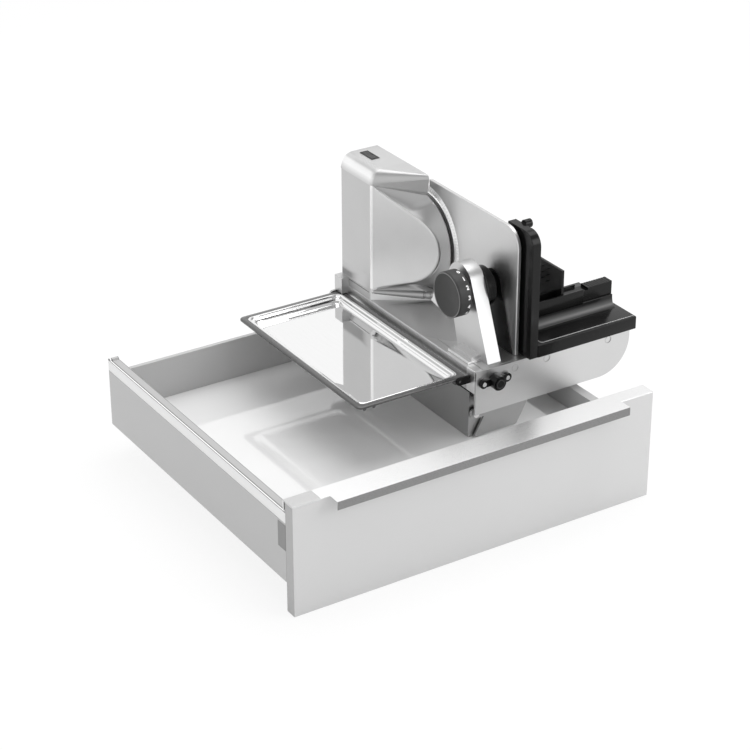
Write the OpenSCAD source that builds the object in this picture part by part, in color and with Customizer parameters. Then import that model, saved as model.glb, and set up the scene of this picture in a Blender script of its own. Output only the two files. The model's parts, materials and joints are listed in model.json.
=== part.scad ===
// Electric food slicer that folds down into its own pull-out drawer.
// X runs to the right along the drawer front, Y into the cabinet, Z up.
// Lengths are first laid out from the lower left front corner of the front panel. seat() then moves
// each piece so that the origin lies centrally between the four screws of the cabinet runners.

/* [Drawer] */
// Width of the front panel
drawer_w = 597; // [570:1:640]
// Height of the front panel
front_h = 169; // [160:1:200]
// Thickness of the front panel
front_t = 19; // [16:0.5:22]
// Room behind the slicer's rail inside the drawer box
back_room = 12; // [12:1:50]
// Thickness of each hollow drawer side
side_t = 15; // [15:0.5:18]
// Lower edge of the drawer sides above the lower edge of the front panel
side_foot = 45.5; // [30:0.5:50]
// Height of the left drawer side
side_h = 108; // [90:1:112]
// Height of the low right drawer side
low_side_h = 58.5; // [56:0.5:64]
// Thickness of the sheet that the sides are folded from
skin_t = 1.2; // [0.8:0.1:1.4]
// Height of the shiny lip along the left side
lip_h = 17; // [10:1:22]
// Height of the back wall above the drawer floor
back_h = 65; // [50:1:80]
// Thickness of the back wall
back_t = 7; // [4:0.5:7.5]
// Thickness of the drawer floor
floor_t = 16; // [14:0.5:16]
// Height of the floor's upper face above the foot of the sides
floor_rise = 22.5; // [20:0.5:22.5]

/* [Handle] */
// Depth of the strip on top of the front panel
strip_w = 25; // [20:0.5:30]
// Thickness of the handle sheet
strip_t = 2; // [1.5:0.1:3]
// How far the pull lip stands in front of the panel
pull_reach = 20; // [14:0.5:30]
// How far the pull lip turns down
pull_drop = 13; // [8:0.5:18]
// Distance from each end of the front to the pull lip
pull_inset = 57; // [30:1:120]

/* [Runners] */
// Distance from the rear end of the runners to the back of the drawer box
runner_end = 18; // [13:1:60]
// Start of the runners behind the front panel
runner_start = 11; // [8:0.5:14]
// Thickness of the runner steel
runner_t = 1.2; // [1:0.1:1.4]
// Radius of the runner screw holes
screw_hole_r = 2.2; // [1.8:0.1:2.4]
// Spacing of the two screws in one runner
screw_spacing = 384; // [320:1:400]

/* [Slicer stand] */
// Left face of the slicer's rail, from the left end of the front panel
rail_x = 402; // [395:1:405]
// Front face of the slicer's front plate
unit_y = 162; // [158:1:166]
// Height of the slicer's deck
deck_z = 184; // [183:0.5:188]
// Length of the slicer's rail
rail_l = 355; // [350:0.5:356]
// Width of the left rail
rail_w = 14; // [12:0.5:16]
// Height of the left rail
rail_h = 37; // [33:0.5:37]
// Thickness of the front plate
plate_t = 4; // [3:0.5:5]
// Length of the front plate
plate_l = 278.5; // [260:0.5:285]
// Height of the front plate
plate_h = 69.5; // [60:0.5:70]
// Radius of the front plate's lower right corner
plate_r = 55; // [30:1:58]
// Height of the stand on the drawer floor
pedestal_h = 74.5; // [72:0.5:74.5]
// Width of the stand
pedestal_w = 62; // [50:1:66]
// Radius of the hinge pin
hinge_r = 4; // [3:0.25:4.5]

/* [Motor housing] */
// Width of the motor housing
tower_w = 65; // [62:0.5:66]
// Depth of the motor housing at its back part
tower_d = 83; // [76:1:83]
// Height of the motor housing above the deck
tower_h = 213; // [210:1:230]
// Rounding along the top left of the housing
tower_r = 21; // [10:1:24]
// Wall of the housing
shell_t = 3; // [2:0.25:3.5]

/* [Blade and stop plate] */
// Radius of the blade
blade_r = 85; // [80:0.5:86]
// Height of the blade axle above the deck
blade_rise = 98; // [96:0.5:99]
// How far the blade axle lies in front of the housing's left front corner
blade_fore = 35; // [33:0.5:37]
// Thickness of the stop plate
stop_t = 6; // [4:0.5:6.5]
// Height of the stop plate
stop_h = 197; // [190:1:205]
// Rounding of the stop plate's upper corner
stop_r = 30; // [15:1:40]
// Travel of the stop plate, the thickest slice
stop_travel = 12; // [8:0.5:12]
// Radius of the thickness dial
dial_r = 34.5; // [30:0.5:36]
// Thickness of the dial
dial_t = 21.5; // [18:0.5:25]

/* [Carriage] */
// Length of the carriage across the slicer
carriage_l = 194; // [180:1:200]
// Height of the carriage's table
table_h = 20; // [17:0.5:22]
// Distance from the rear end of the carriage's guide rail to the rear end of the slicer's rail
guide_short = 39.7; // [39.7:0.1:80]
// Width of the upright hand guard
guard_t = 14; // [10:0.5:14]
// Depth of the hand guard
guard_d = 63; // [50:1:64]
// Height of the fence above the table
fence_h = 40; // [32:0.5:44]
// Travel of the remnant holder
holder_travel = 45; // [20:1:45]

/* [Slice tray] */
// Width of the tray
tray_w = 185; // [160:1:186]
// Distance from the tray's rear end to the rear end of the rail
tray_end = 1; // [1:0.5:10]
// Depth of the tray
tray_h = 14; // [11:0.5:14]
// Width of the tray's black rim
tray_rim = 10; // [7:0.5:11]

/* [Hidden] */
$fn = 64;

// Clearances and the overrun of cuts
cut = 1;
seat_gap = 0.3;
slide_gap = 0.5;
bore_gap = 0.05;

// Rail and drawer box
rail_fore = 9;
rail_y0 = unit_y + rail_fore;
rail_y1 = rail_y0 + rail_l;
box_y0 = front_t;
box_y1 = rail_y1 + back_room;
runner_l = box_y1 - box_y0 - runner_start - runner_end;
side_y0 = box_y0;
floor_z = side_foot + floor_rise;
left_in = side_t;
right_in = drawer_w - side_t;
back_y = box_y1 - back_t;
mount_y = front_t + runner_start + runner_l / 2;

// Runner sections, from the middle of a drawer side outward
side_mid = side_t / 2;
outer_half = side_mid - skin_t - seat_gap;
drawer_rail_h = 22;
drawer_rail_lift = 54.5;
drawer_rail_z = side_foot + drawer_rail_lift;
upper_half = outer_half - runner_t - slide_gap;
upper_bar_h = 17;
cab_half = outer_half - runner_t + bore_gap * 4;
cab_h = 29;
foot_t = 1.5;
lower_half = cab_half - runner_t - slide_gap;
lower_z = 4;
neck_half = lower_half - runner_t;

// Slicer stand
pivot_right = 10;
pivot_x = rail_x + pivot_right;
pivot_rise = 62.5;
pivot_z = side_foot + pivot_rise;
pedestal_right = 2;
pedestal_x = rail_x + pedestal_right;
pedestal_fore = 20;
pedestal_y0 = unit_y + pedestal_fore;
pedestal_short = 16;
pedestal_y1 = rail_y1 - pedestal_short;
pedestal_z1 = floor_z + seat_gap + pedestal_h;
sheet_t = 2;
foot_w = 22;
base_x0 = rail_x + rail_w + seat_gap;
base_w = 84;
base_x1 = base_x0 + base_w;
base_y0 = unit_y + plate_t + seat_gap;
base_z0 = deck_z - rail_h;
base_t = 3;
arm_t = 4;
arm_back = 14;
arm_y = unit_y + arm_back;
arm_gap = 4;
arm_rear_y = pedestal_y1 + arm_gap;
hub_r = 8.5;
arm_low = 38;
arm_w = 75;
arm_lean_share = 0.559;
plate_z0 = deck_z - seat_gap - plate_h;
mark_r = 5.4;
mark_t = 0.4;

// Motor housing
tower_x1 = rail_x + tower_w;
tower_past = 4;
tower_y1 = rail_y1 + tower_past;
tower_y0 = tower_y1 - tower_d;
tower_z1 = deck_z + tower_h;
nose_reach = 64;
nose_y = tower_y0 - nose_reach;
face_dx = 60;
face_dy = 93;
face_top_drop = 23;
face_top = tower_z1 - face_top_drop;
face_low_rise = 19;
face_low = deck_z + face_low_rise;
face_r = 60;
blade_y = tower_y0 - blade_fore;
blade_z = deck_z + blade_rise;
rim_r = 77;
rim_stand = 7;
rim_x = tower_x1 + rim_stand;
flare_l = 30;
flare_lip = 1.5;
flare_x = rim_x - flare_lip - flare_l;
skirt_rise = 28;

// Drive
motor_right = 44;
motor_x = rail_x + motor_right;
gear_r = 19;
worm_r = 6.4;
motor_y = blade_y + gear_r + worm_r + seat_gap;
gear_t = 7;
axle_r = 5;
shaft_r = 3;
stator_r = 17;
gap_r = 11.3;
stator_rise = 30;
stator_z = blade_z + stator_rise;
stator_h = 48;
end_plate_t = 3;
end_gap = 4;
worm_l = 30;
fan_r = 15;
fan_t = 9;
fan_hub_r = 5.5;
fan_blades = 8;
cover_t = 3;
cover_r = 52;
boss_r = 13;
boss_l = 11;

// Blade, stop plate, column and dial
blade_stand = 2;
blade_x = rim_x + blade_stand;
blade_t = 1.6;
blade_dish = 9;
hub_plate_r = 34;
screw_head_r = 11;
screw_head_t = 6;
slide_rest = 0.5;
stop_fore = 13.5;
stop_y0 = unit_y + stop_fore;
stop_short = 7;
stop_y1 = blade_y - stop_short;
stop_cut_room = 3;
stop_cut_r = blade_r + stop_cut_room;
column_right = 28;
column_x = rail_x + column_right;
column_w = 23;
column_cover_t = 12.7;
slide_t = 1.5;
stop_x = column_x + column_w + seat_gap + column_cover_t + slide_t + stop_travel + slide_rest;
column_top_r = 30.5;
column_top_back = 85;
column_top_y = unit_y + column_top_back;
column_top_rise = 102.5;
column_top_z = deck_z + column_top_rise;
column_fore = 11.2;
column_front_y = unit_y + column_fore;
column_aft = 89;
column_back_y = unit_y + column_aft;
plinth_right = 5;
plinth_x = rail_x + plinth_right;
plinth_fore = 27;
plinth_y0 = unit_y + plinth_fore;
plinth_aft = 80;
plinth_y1 = unit_y + plinth_aft;
plinth_h = 4;
plinth_step = 8;
skirt_gap = 20;
skirt_front = plinth_y1 + skirt_gap;
dial_back = 73;
dial_y = unit_y + dial_back;
dial_rise = 95;
dial_z = deck_z + dial_rise;
dial_stand = 10;
dial_x0 = column_x - dial_t - dial_stand;
spindle_r = 5;
bar_r = 12;
column_wall = 4;
slide_r = 30;
slide_leg_w = 44;
slide_foot = 8;
slide_disc_r = 22;

// Carriage
carriage_right = 88;
carriage_x0 = rail_x + carriage_right;
carriage_x1 = carriage_x0 + carriage_l;
table_reach = 10;
table_y0 = unit_y - table_reach;
table_d = 143;
table_z0 = deck_z + seat_gap;
table_z1 = table_z0 + table_h;
table_t = 3;
fence_back = 49;
fence_y0 = table_y0 + fence_back;
fence_t = 2.7;
fence_x0 = carriage_x0 + guard_t;
fence_l = 131;
fence_x1 = carriage_x0 + fence_l;
channel_w = 18.4;
channel_h = 19.2;
channel_end = 8;
channel_x1 = carriage_x1 - channel_end;
grip_l = 45;
grip_right = 141;
grip_x0 = carriage_x0 + grip_right;
arm_clear = 1.2;
guard_back = 1;
guard_y0 = table_y0 + guard_back;
guard_h = 197;
guard_r = 22;
knob_r = 6.5;
knob_t = 12;
knob_back = 19;
knob_drop = 1.8;
pusher_t = 4;
pusher_d = 66;
pusher_h = 39;
food_min = 30;
pusher_x = fence_x0 + table_t + holder_travel + food_min;
spike_r = 1.1;
spike_l = 5;
guide_w = 22;
guide_h = 24;
guide_x = base_x1 + slide_gap * 4;
guide_slot = 10;
guide_lip = 5;
shoe_l = 80;
guide_end = 18;
guide_l = rail_y1 - base_y0 - guide_short;
shoe_clear = 0.4;

// Slice tray
tray_side_gap = 3;
tray_x1 = rail_x - tray_side_gap;
tray_x0 = tray_x1 - tray_w;
tray_fore = 18;
tray_y0 = unit_y + tray_fore;
tray_y1 = rail_y1 - tray_end;
tray_drop = 12;
tray_z1 = deck_z - tray_drop;
tray_z0 = tray_z1 - tray_h;
tray_pin_in = 15;
tray_pin_x = tray_x1 - tray_pin_in;
tray_pin_drop = 4;
tray_pin_z = tray_z1 - tray_pin_drop;
tray_pin_r = 2;
tray_pin_l = 3.6;
rim_t = 3.5;
pan_lip = 1.5;
pin_block = 21;
pan_t = 1;
pan_step = 7;
pan_step_h = 4;
pan_lift = 0.5;
tray_r = 6;
post_lug_t = 3.5;
post_lug_r = 6;
post_w = 13;
post_d = 21;
post_h = 25.5;
post_clear = 1.5;
post_past = 1.5;

// Folding lock
lock_right = 32;
lock_x = rail_x + lock_right;
lock_drop = 20;
lock_z = deck_z - lock_drop;
lock_span = 20.6;
ear_r = 7;
ear_t = 5;
boss_out_r = 10.4;
boss_out_t = 12;
button_r = 8.2;
button_out = 5;
button_l = 10;
button_pin_r = 4;
button_pin_l = 16;
lock_travel = 6;
lock_screw_r = 3.4;
lock_screw_t = 1.2;
thread_r = 1.7;

// Switch on top of the housing
switch_right = 33;
switch_x = rail_x + switch_right;
switch_fore = 30;
switch_y = tower_y1 - switch_fore;
switch_l = 34;
switch_w = 14;
bezel_t = 1.6;
bezel_h = 9;
rocker_l = 29;
rocker_w = 9.6;
rocker_h = 5;
rocker_pin_r = 1;
rocker_gap = 0.6;

// Small pieces
strip_under_l = 49;
strip_under_h = 6;
strip_under_t = 1.6;
strip_under_w = 10;
gland_r = 6;
gland_l = 9;
gland_bore_r = 3.2;
bracket_l = 20;
bracket_h = 39;
bracket_rise = 48.5;
bracket_z = side_foot + bracket_rise;
bracket_t = 3;
fix_screw_r = 2;
fix_screw_l = 14;
fix_head_r = 3.6;
fix_head_t = 1.6;
hump_r = 3.2;
lip_groove = 0.5;

// Layout from the panel corner to the part's own origin
module seat() {
    translate([-drawer_w / 2, -mount_y, -side_foot]) children();
}

module box(x0, x1, y0, y1, z0, z1) {
    translate([x0, y0, z0]) cube([x1 - x0, y1 - y0, z1 - z0]);
}

module rod_x(x0, x1, y, z, r) {
    translate([x0, y, z]) rotate([0, 90, 0]) cylinder(h = x1 - x0, r = r);
}

module rod_y(y0, y1, x, z, r) {
    translate([x, y1, z]) rotate([90, 0, 0]) cylinder(h = y1 - y0, r = r);
}

module rod_z(z0, z1, x, y, r) {
    translate([x, y, z0]) cylinder(h = z1 - z0, r = r);
}

// A flat outline in Y and Z, extruded along X
module sheet_x(x0, x1) {
    translate([x0, 0, 0]) rotate([90, 0, 90]) linear_extrude(x1 - x0) children();
}

// A flat outline in X and Z, extruded along Y
module sheet_y(y0, y1) {
    translate([0, y1, 0]) rotate([90, 0, 0]) linear_extrude(y1 - y0) children();
}

// The point where a line from p touches a circle round c, on the side that turn gives
function touch(p, c, r, turn) =
    let (d = c - p, l = norm(d), a = atan2(d.y, d.x) + turn * asin(r / l), t = sqrt(l * l - r * r))
    p + t * [cos(a), sin(a)];

// Runners

module cabinet_runner(x) {
    y0 = front_t + runner_start;
    difference() {
        box(x - cab_half, x + cab_half, y0, y0 + runner_l, side_foot, side_foot + cab_h);
        box(x - cab_half + runner_t, x + cab_half - runner_t, y0 - cut, y0 + runner_l + cut,
            side_foot + foot_t, side_foot + cab_h + cut);
        for (side = [-1, 1])
            rod_z(side_foot - cut, side_foot + foot_t + cut, x, mount_y + side * screw_spacing / 2,
                screw_hole_r);
    }
}

module cabinet_runner_left() {
    color("silver") seat() cabinet_runner(side_mid);
}

module cabinet_runner_right() {
    color("silver") seat() cabinet_runner(drawer_w - side_mid);
}

module middle_runner(x) {
    y0 = front_t + runner_start;
    top = drawer_rail_z - runner_t - slide_gap;
    box(x - upper_half, x + upper_half, y0, y0 + runner_l, top - upper_bar_h, top);
    box(x - neck_half, x + neck_half, y0, y0 + runner_l, side_foot + lower_z, top - upper_bar_h);
    box(x - lower_half, x + lower_half, y0, y0 + runner_l, side_foot + lower_z,
        side_foot + cab_h - slide_gap);
}

module middle_runner_left() {
    color("gainsboro") seat() middle_runner(side_mid);
}

module middle_runner_right() {
    color("gainsboro") seat() middle_runner(drawer_w - side_mid);
}

module drawer_runner(x) {
    y0 = front_t + runner_start;
    difference() {
        box(x - outer_half, x + outer_half, y0, y0 + runner_l, drawer_rail_z - drawer_rail_h,
            drawer_rail_z);
        box(x - outer_half + runner_t, x + outer_half - runner_t, y0 - cut, y0 + runner_l + cut,
            drawer_rail_z - drawer_rail_h - cut, drawer_rail_z - runner_t);
    }
}

module drawer_runner_left() {
    color("silver") seat() drawer_runner(side_mid);
}

module drawer_runner_right() {
    color("silver") seat() drawer_runner(drawer_w - side_mid);
}

// Drawer box

module front_panel() {
    color("whitesmoke") seat() box(0, drawer_w, 0, front_t, 0, front_h);
}

// Strip over the panel's top edge, whose middle part reaches forward and turns down
module handle_strip() {
    top = front_h + strip_t;
    color("silver") seat() {
        box(0, drawer_w, 0, strip_w, front_h, top);
        box(0, drawer_w, strip_w - strip_t, strip_w, front_h - pull_drop, front_h);
        box(pull_inset, drawer_w - pull_inset, -pull_reach, 0, front_h, top);
        box(pull_inset, drawer_w - pull_inset, -pull_reach, strip_t - pull_reach,
            top - pull_drop, front_h);
    }
}

// Folded hollow side, open below for the runners
module side_wall(h) {
    z1 = side_foot + h;
    difference() {
        box(0, side_t, side_y0, box_y1, side_foot, z1);
        box(skin_t, side_t - skin_t, side_y0 - cut, box_y1 + cut, side_foot - cut, z1 - skin_t);
    }
    // Inner sheet that carries the floor
    box(side_t, side_t + skin_t, side_y0, box_y1, side_foot, floor_z - floor_t - seat_gap);
}

module left_side() {
    z1 = side_foot + side_h;
    color("lightgray") seat() {
        difference() {
            side_wall(side_h);
            box(-cut, skin_t + cut, box_y0 - cut, box_y0 + bracket_l + seat_gap,
                bracket_z - seat_gap, bracket_z + bracket_h + seat_gap);
            // Groove below the shiny lip
            box(-cut, lip_groove, side_y0 - cut, box_y1 + cut, z1 - lip_h - lip_groove, z1 - lip_h);
        }
        // Rolled end of the top lip
        intersection() {
            rod_x(0, side_t, box_y1 - hump_r, z1, hump_r);
            box(0, side_t, box_y1 - 2 * hump_r, box_y1, z1 - skin_t, z1 + hump_r);
        }
    }
}

module right_side() {
    color("lightgray") seat() translate([drawer_w, 0, 0]) mirror([1, 0, 0]) side_wall(low_side_h);
}

module drawer_floor() {
    color("white") seat()
        difference() {
            box(left_in + seat_gap, right_in - seat_gap, box_y0, box_y1, floor_z - floor_t, floor_z);
            pedestal_holes(fix_screw_r + bore_gap, floor_z - fix_screw_l, floor_z + cut);
        }
}

module back_wall() {
    color("lightgray") seat()
        box(left_in + seat_gap, right_in - seat_gap, back_y, box_y1, floor_z, floor_z + back_h);
}

// Bracket that hooks a drawer side to the front panel
module front_bracket(h) {
    box(0, skin_t, box_y0, box_y0 + bracket_l, bracket_z, bracket_z + h);
    box(skin_t, side_t - skin_t, box_y0, box_y0 + bracket_t, bracket_z, bracket_z + h);
}

module front_brackets() {
    color("gray") seat() {
        difference() {
            front_bracket(bracket_h);
            bracket_holes();
        }
        difference() {
            box(drawer_w - side_t + skin_t, drawer_w - skin_t, box_y0, box_y0 + bracket_t,
                drawer_rail_z + seat_gap - bracket_h / 2, side_foot + low_side_h - skin_t);
            bracket_holes();
        }
    }
}

// Places of the screws that pull the brackets to the front panel
function bracket_screw_z(right) =
    right ? side_foot + low_side_h - skin_t - bracket_h / 4 : bracket_z + bracket_h / 2;

module bracket_holes() {
    for (right = [false, true])
        rod_y(box_y0 - cut, box_y0 + bracket_t + cut, right ? drawer_w - side_mid : side_mid,
            bracket_screw_z(right), fix_screw_r + bore_gap);
}

module front_fixing_screws() {
    color("dimgray") seat()
        for (right = [false, true]) {
            x = right ? drawer_w - side_mid : side_mid;
            z = bracket_screw_z(right);
            rod_y(box_y0, box_y0 + bracket_t + fix_head_t, x, z, fix_screw_r);
            rod_y(box_y0 + bracket_t, box_y0 + bracket_t + fix_head_t, x, z, fix_head_r);
        }
}

// Stand of folded sheet on the drawer floor, open to the right and below
module pedestal_holes(r, z0, z1) {
    for (side_share = [0.1, 0.5, 0.9])
        rod_z(z0, z1, pedestal_x + foot_w / 2, pedestal_y0 + side_share * (pedestal_y1 - pedestal_y0),
            r);
}

module pedestal() {
    z0 = floor_z + seat_gap;
    color("gray") seat()
        difference() {
            box(pedestal_x, pedestal_x + pedestal_w, pedestal_y0, pedestal_y1, z0, pedestal_z1);
            box(pedestal_x + sheet_t, pedestal_x + pedestal_w + cut, pedestal_y0 + sheet_t,
                pedestal_y1 - sheet_t, z0 + sheet_t, pedestal_z1 - sheet_t);
            box(pedestal_x + foot_w, pedestal_x + pedestal_w + cut, pedestal_y0 - cut,
                pedestal_y1 + cut, z0 - cut, pivot_z - hub_r);
            box(pedestal_x + foot_w, pedestal_x + pedestal_w + cut, pedestal_y0 - cut,
                pedestal_y0 + sheet_t + cut, z0 - cut, pedestal_z1 - sheet_t);
            rod_y(pedestal_y0 - cut, pedestal_y1 + cut, pivot_x, pivot_z, hinge_r + bore_gap);
            pedestal_holes(fix_screw_r + bore_gap, z0 - cut, z0 + sheet_t + cut);
        }
}

module pedestal_screws() {
    head_z = floor_z + seat_gap + sheet_t;
    color("silver") seat() {
        pedestal_holes(fix_screw_r, floor_z - fix_screw_l + seat_gap, head_z);
        pedestal_holes(fix_head_r, head_z, head_z + fix_head_t);
    }
}

module hinge_pin() {
    y0 = arm_y - sheet_t;
    y1 = arm_rear_y + arm_t + sheet_t;
    color("silver") seat() {
        rod_y(y0, y1, pivot_x, pivot_z, hinge_r);
        rod_y(y0 - sheet_t, y0, pivot_x, pivot_z, hinge_r + sheet_t / 2);
        rod_y(y1, y1 + sheet_t, pivot_x, pivot_z, hinge_r + sheet_t / 2);
    }
}

// Slicer frame

module base_frame() {
    color("silver") seat()
        difference() {
            box(base_x0, base_x1, base_y0, rail_y1, base_z0, deck_z);
            box(base_x0 + base_t, base_x1 - base_t, base_y0 + base_t, rail_y1 - base_t,
                base_z0 - cut, deck_z - base_t);
            rod_y(base_y0 - cut, base_y0 + base_t + cut, lock_x, lock_z, button_pin_r + bore_gap);
            base_screw_rods(fix_screw_r + bore_gap, deck_z - base_t - cut, deck_z + cut);
        }
}

module left_rail() {
    color("silver") seat()
        difference() {
            box(rail_x, rail_x + rail_w, rail_y0, rail_y1, base_z0, deck_z);
            box(rail_x + base_t, rail_x + rail_w - base_t, rail_y0 + rail_w, rail_y1 - rail_w,
                base_z0 - cut, deck_z - base_t);
        }
}

module plate_outline() {
    x1 = rail_x + plate_l;
    difference() {
        translate([rail_x, plate_z0]) square([plate_l, plate_h]);
        difference() {
            translate([x1 - plate_r, plate_z0 - cut]) square([plate_r + cut, plate_r + cut]);
            translate([x1 - plate_r, plate_z0 + plate_r]) circle(plate_r);
        }
    }
}

module front_plate() {
    color("silver") seat()
        difference() {
            sheet_y(unit_y, unit_y + plate_t) plate_outline();
            rod_y(unit_y - cut, unit_y + plate_t + cut, lock_x, lock_z, button_pin_r + bore_gap);
            for (side = [-1, 1])
                rod_y(unit_y - cut, unit_y + plate_t + cut, lock_x + side * lock_span, lock_z,
                    thread_r + bore_gap);
            for (share = [0.247, 0.451, 0.856])
                rod_y(unit_y - cut, unit_y + mark_t, rail_x + share * plate_l,
                    deck_z - 2 * mark_r, mark_r);
        }
}

// Slanted arm from the frame down to the hinge pin
module arm_outline() {
    low = pivot_z - arm_low;
    high = base_z0 - seat_gap;
    x0 = pivot_x - arm_t / 4;
    lean = (high - low) * arm_lean_share;
    difference() {
        union() {
            polygon([[x0, low], [x0 + arm_w, low], [x0 + arm_w + lean, high], [x0 + lean, high]]);
            translate([pivot_x, pivot_z]) circle(hub_r);
            polygon([[pivot_x, pivot_z - hub_r], [pivot_x + arm_low, pivot_z - hub_r],
                [pivot_x + arm_low, pivot_z + hub_r], [pivot_x, pivot_z + hub_r]]);
        }
        translate([pivot_x, pivot_z]) circle(hinge_r + bore_gap);
    }
}

module fold_arm(y, foot_y) {
    x0 = base_x0 + base_t + seat_gap + plate_t + 2 * button_pin_r + hub_r;
    sheet_y(y, y + arm_t) arm_outline();
    box(x0, base_x1 - base_t, min(y, foot_y), max(y + arm_t, foot_y), base_z0 - seat_gap,
        deck_z - base_t - hub_r);
}

module fold_arms() {
    color("darkgray") seat() {
        fold_arm(arm_y, base_y0 + base_t);
        fold_arm(arm_rear_y, rail_y1 - base_t);
    }
}

// Small black strip under the front end of the rail
module rail_strip() {
    z1 = base_z0 - seat_gap;
    color("black") seat() {
        box(rail_x, rail_x + strip_under_w, rail_y0, rail_y0 + strip_under_l, z1 - strip_under_t, z1);
        box(rail_x, rail_x + strip_under_t, rail_y0, rail_y0 + strip_under_h, z1 - strip_under_h,
            z1 - strip_under_t);
    }
}

// Screws from below through the deck into the column and the housing
module base_screw_rods(r, z0, z1) {
    for (y = [column_front_y + foot_w, column_back_y - foot_w, tower_y0 + foot_w,
        tower_y1 - 2 * foot_w])
        rod_z(z0, z1, column_x + column_w / 2, y, r);
}

module base_screws() {
    z1 = deck_z - base_t;
    color("silver") seat() {
        base_screw_rods(fix_head_r, z1 - fix_head_t, z1);
        base_screw_rods(fix_screw_r, z1, z1 + fix_screw_l / 2);
    }
}

// Motor housing

// Plan of the housing: a straight back part and a slanted nose, drawn in by inset
module tower_plan(inset) {
    polygon([[rail_x + inset, tower_y1 - inset], [rail_x + inset, tower_y0 + inset / 2],
        [tower_x1 - inset, nose_y + 2 * inset], [tower_x1 - inset, tower_y1 - inset]]);
}

// Plan in front of the slanted face, as far as the blade housing reaches
module face_plan() {
    far = 2 * face_r;
    x1 = tower_x1 - seat_gap;
    back = tower_y0 + tower_r;
    polygon([[rail_x + tower_r, back], [rail_x, tower_y0], [rail_x + face_dx, tower_y0 - face_dy],
        [rail_x + face_dx, tower_y0 - far], [x1, tower_y0 - far], [x1, back]]);
}

// Side view of the slanted face: an arc round the blade axle and two straight edges
module face_outline() {
    c = [blade_y, blade_z];
    top = [tower_y0, face_top];
    low = [tower_y0, face_low];
    polygon([top, touch(top, c, face_r, -1), c, touch(low, c, face_r, 1), low]);
    translate(c) circle(face_r);
    translate([tower_y0 - cut, face_low]) square([tower_d, face_top - face_low]);
}

module tower_block(inset) {
    r = tower_r - inset;
    x0 = rail_x + inset;
    z1 = tower_z1 - inset;
    intersection() {
        translate([0, 0, deck_z]) linear_extrude(tower_h) tower_plan(inset);
        sheet_y(nose_y - cut, tower_y1 + cut)
            union() {
                translate([x0, deck_z - (inset > 0 ? cut : 0)])
                    square([tower_w - inset, z1 - r - deck_z + (inset > 0 ? cut : 0)]);
                translate([x0 + r, z1 - r]) circle(r);
                translate([x0 + r, deck_z]) square([tower_w - inset - r, z1 - deck_z]);
            }
    }
}

module face_block() {
    intersection() {
        sheet_x(rail_x, tower_x1) face_outline();
        translate([0, 0, deck_z]) linear_extrude(tower_h) face_plan();
    }
}

// Round flare from the slanted face towards the rim beside the blade, between two shares
module flare(from_share, to_share) {
    steps = 8;
    a = [for (i = [0:steps]) let (s = from_share + (to_share - from_share) * i / steps)
        [face_r + (rim_r - face_r) * s * s, flare_l * s]];
    translate([flare_x, blade_y, blade_z]) rotate([0, 90, 0])
        rotate_extrude()
        polygon(concat([[0, flare_l * from_share]], a, [[0, flare_l * to_share]]));
}

// Low skirt that runs out over the deck
module skirt() {
    hull() {
        translate([0, 0, deck_z]) linear_extrude(flare_lip)
            polygon([[rail_x + flare_lip, tower_y0], [rail_x + flare_lip, skirt_front + arm_w / 2],
                [rail_x + column_w, skirt_front], [tower_x1 - flare_lip, skirt_front],
                [tower_x1 - flare_lip, tower_y0]]);
        translate([0, 0, deck_z + skirt_rise - flare_lip]) linear_extrude(flare_lip)
            polygon([[rail_x + flare_lip, tower_y0], [rail_x + face_dx, tower_y0 - face_dy],
                [tower_x1 - flare_lip, tower_y0 - face_dy], [tower_x1 - flare_lip, tower_y0]]);
    }
}

module motor_housing() {
    color("silver") seat()
        difference() {
            union() {
                tower_block(0);
                face_block();
                flare(0, (tower_x1 - flare_x) / flare_l);
                skirt();
            }
            tower_block(shell_t);
            rod_x(motor_x - gear_t / 2 - seat_gap, rim_x, blade_y, blade_z, gear_r + seat_gap);
            base_screw_rods(fix_screw_r + bore_gap, deck_z - cut, deck_z + fix_screw_l / 2);
            translate([switch_x, switch_y, tower_z1 - shell_t - cut])
                linear_extrude(shell_t + 2 * cut)
                square([switch_w - bezel_t, switch_l - bezel_t], center = true);
        }
}

// Round rim on the housing's right face, close beside the blade
module housing_rim() {
    color("silver") seat()
        difference() {
            union() {
                flare((tower_x1 + seat_gap - flare_x) / flare_l, 1);
                rod_x(rim_x - flare_lip, rim_x, blade_y, blade_z, rim_r);
            }
            rod_x(tower_x1, rim_x + cut, blade_y, blade_z, cover_r + bore_gap);
        }
}

// Disc that closes the rim and carries the axle
module housing_cover() {
    color("darkgray") seat()
        difference() {
            union() {
                rod_x(rim_x - cover_t - seat_gap, rim_x - seat_gap, blade_y, blade_z,
                    cover_r - bore_gap);
                rod_x(rim_x - cover_t - boss_l, rim_x - cover_t, blade_y, blade_z, boss_r);
            }
            rod_x(rim_x - cover_t - boss_l - cut, rim_x + cut, blade_y, blade_z,
                axle_r + 2 * skin_t + bore_gap);
        }
}

// Bronze bush that the blade axle turns in
module blade_bearing() {
    color("goldenrod") seat()
        difference() {
            rod_x(rim_x - cover_t - boss_l, rim_x - seat_gap, blade_y, blade_z, axle_r + 2 * skin_t);
            rod_x(rim_x - cover_t - boss_l - cut, rim_x + cut, blade_y, blade_z, axle_r + bore_gap);
        }
}

module motor_stator() {
    color("dimgray") seat()
        difference() {
            rod_z(stator_z, stator_z + stator_h, motor_x, motor_y, stator_r);
            rod_z(stator_z - cut, stator_z + stator_h + cut, motor_x, motor_y, gap_r);
        }
}

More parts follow.
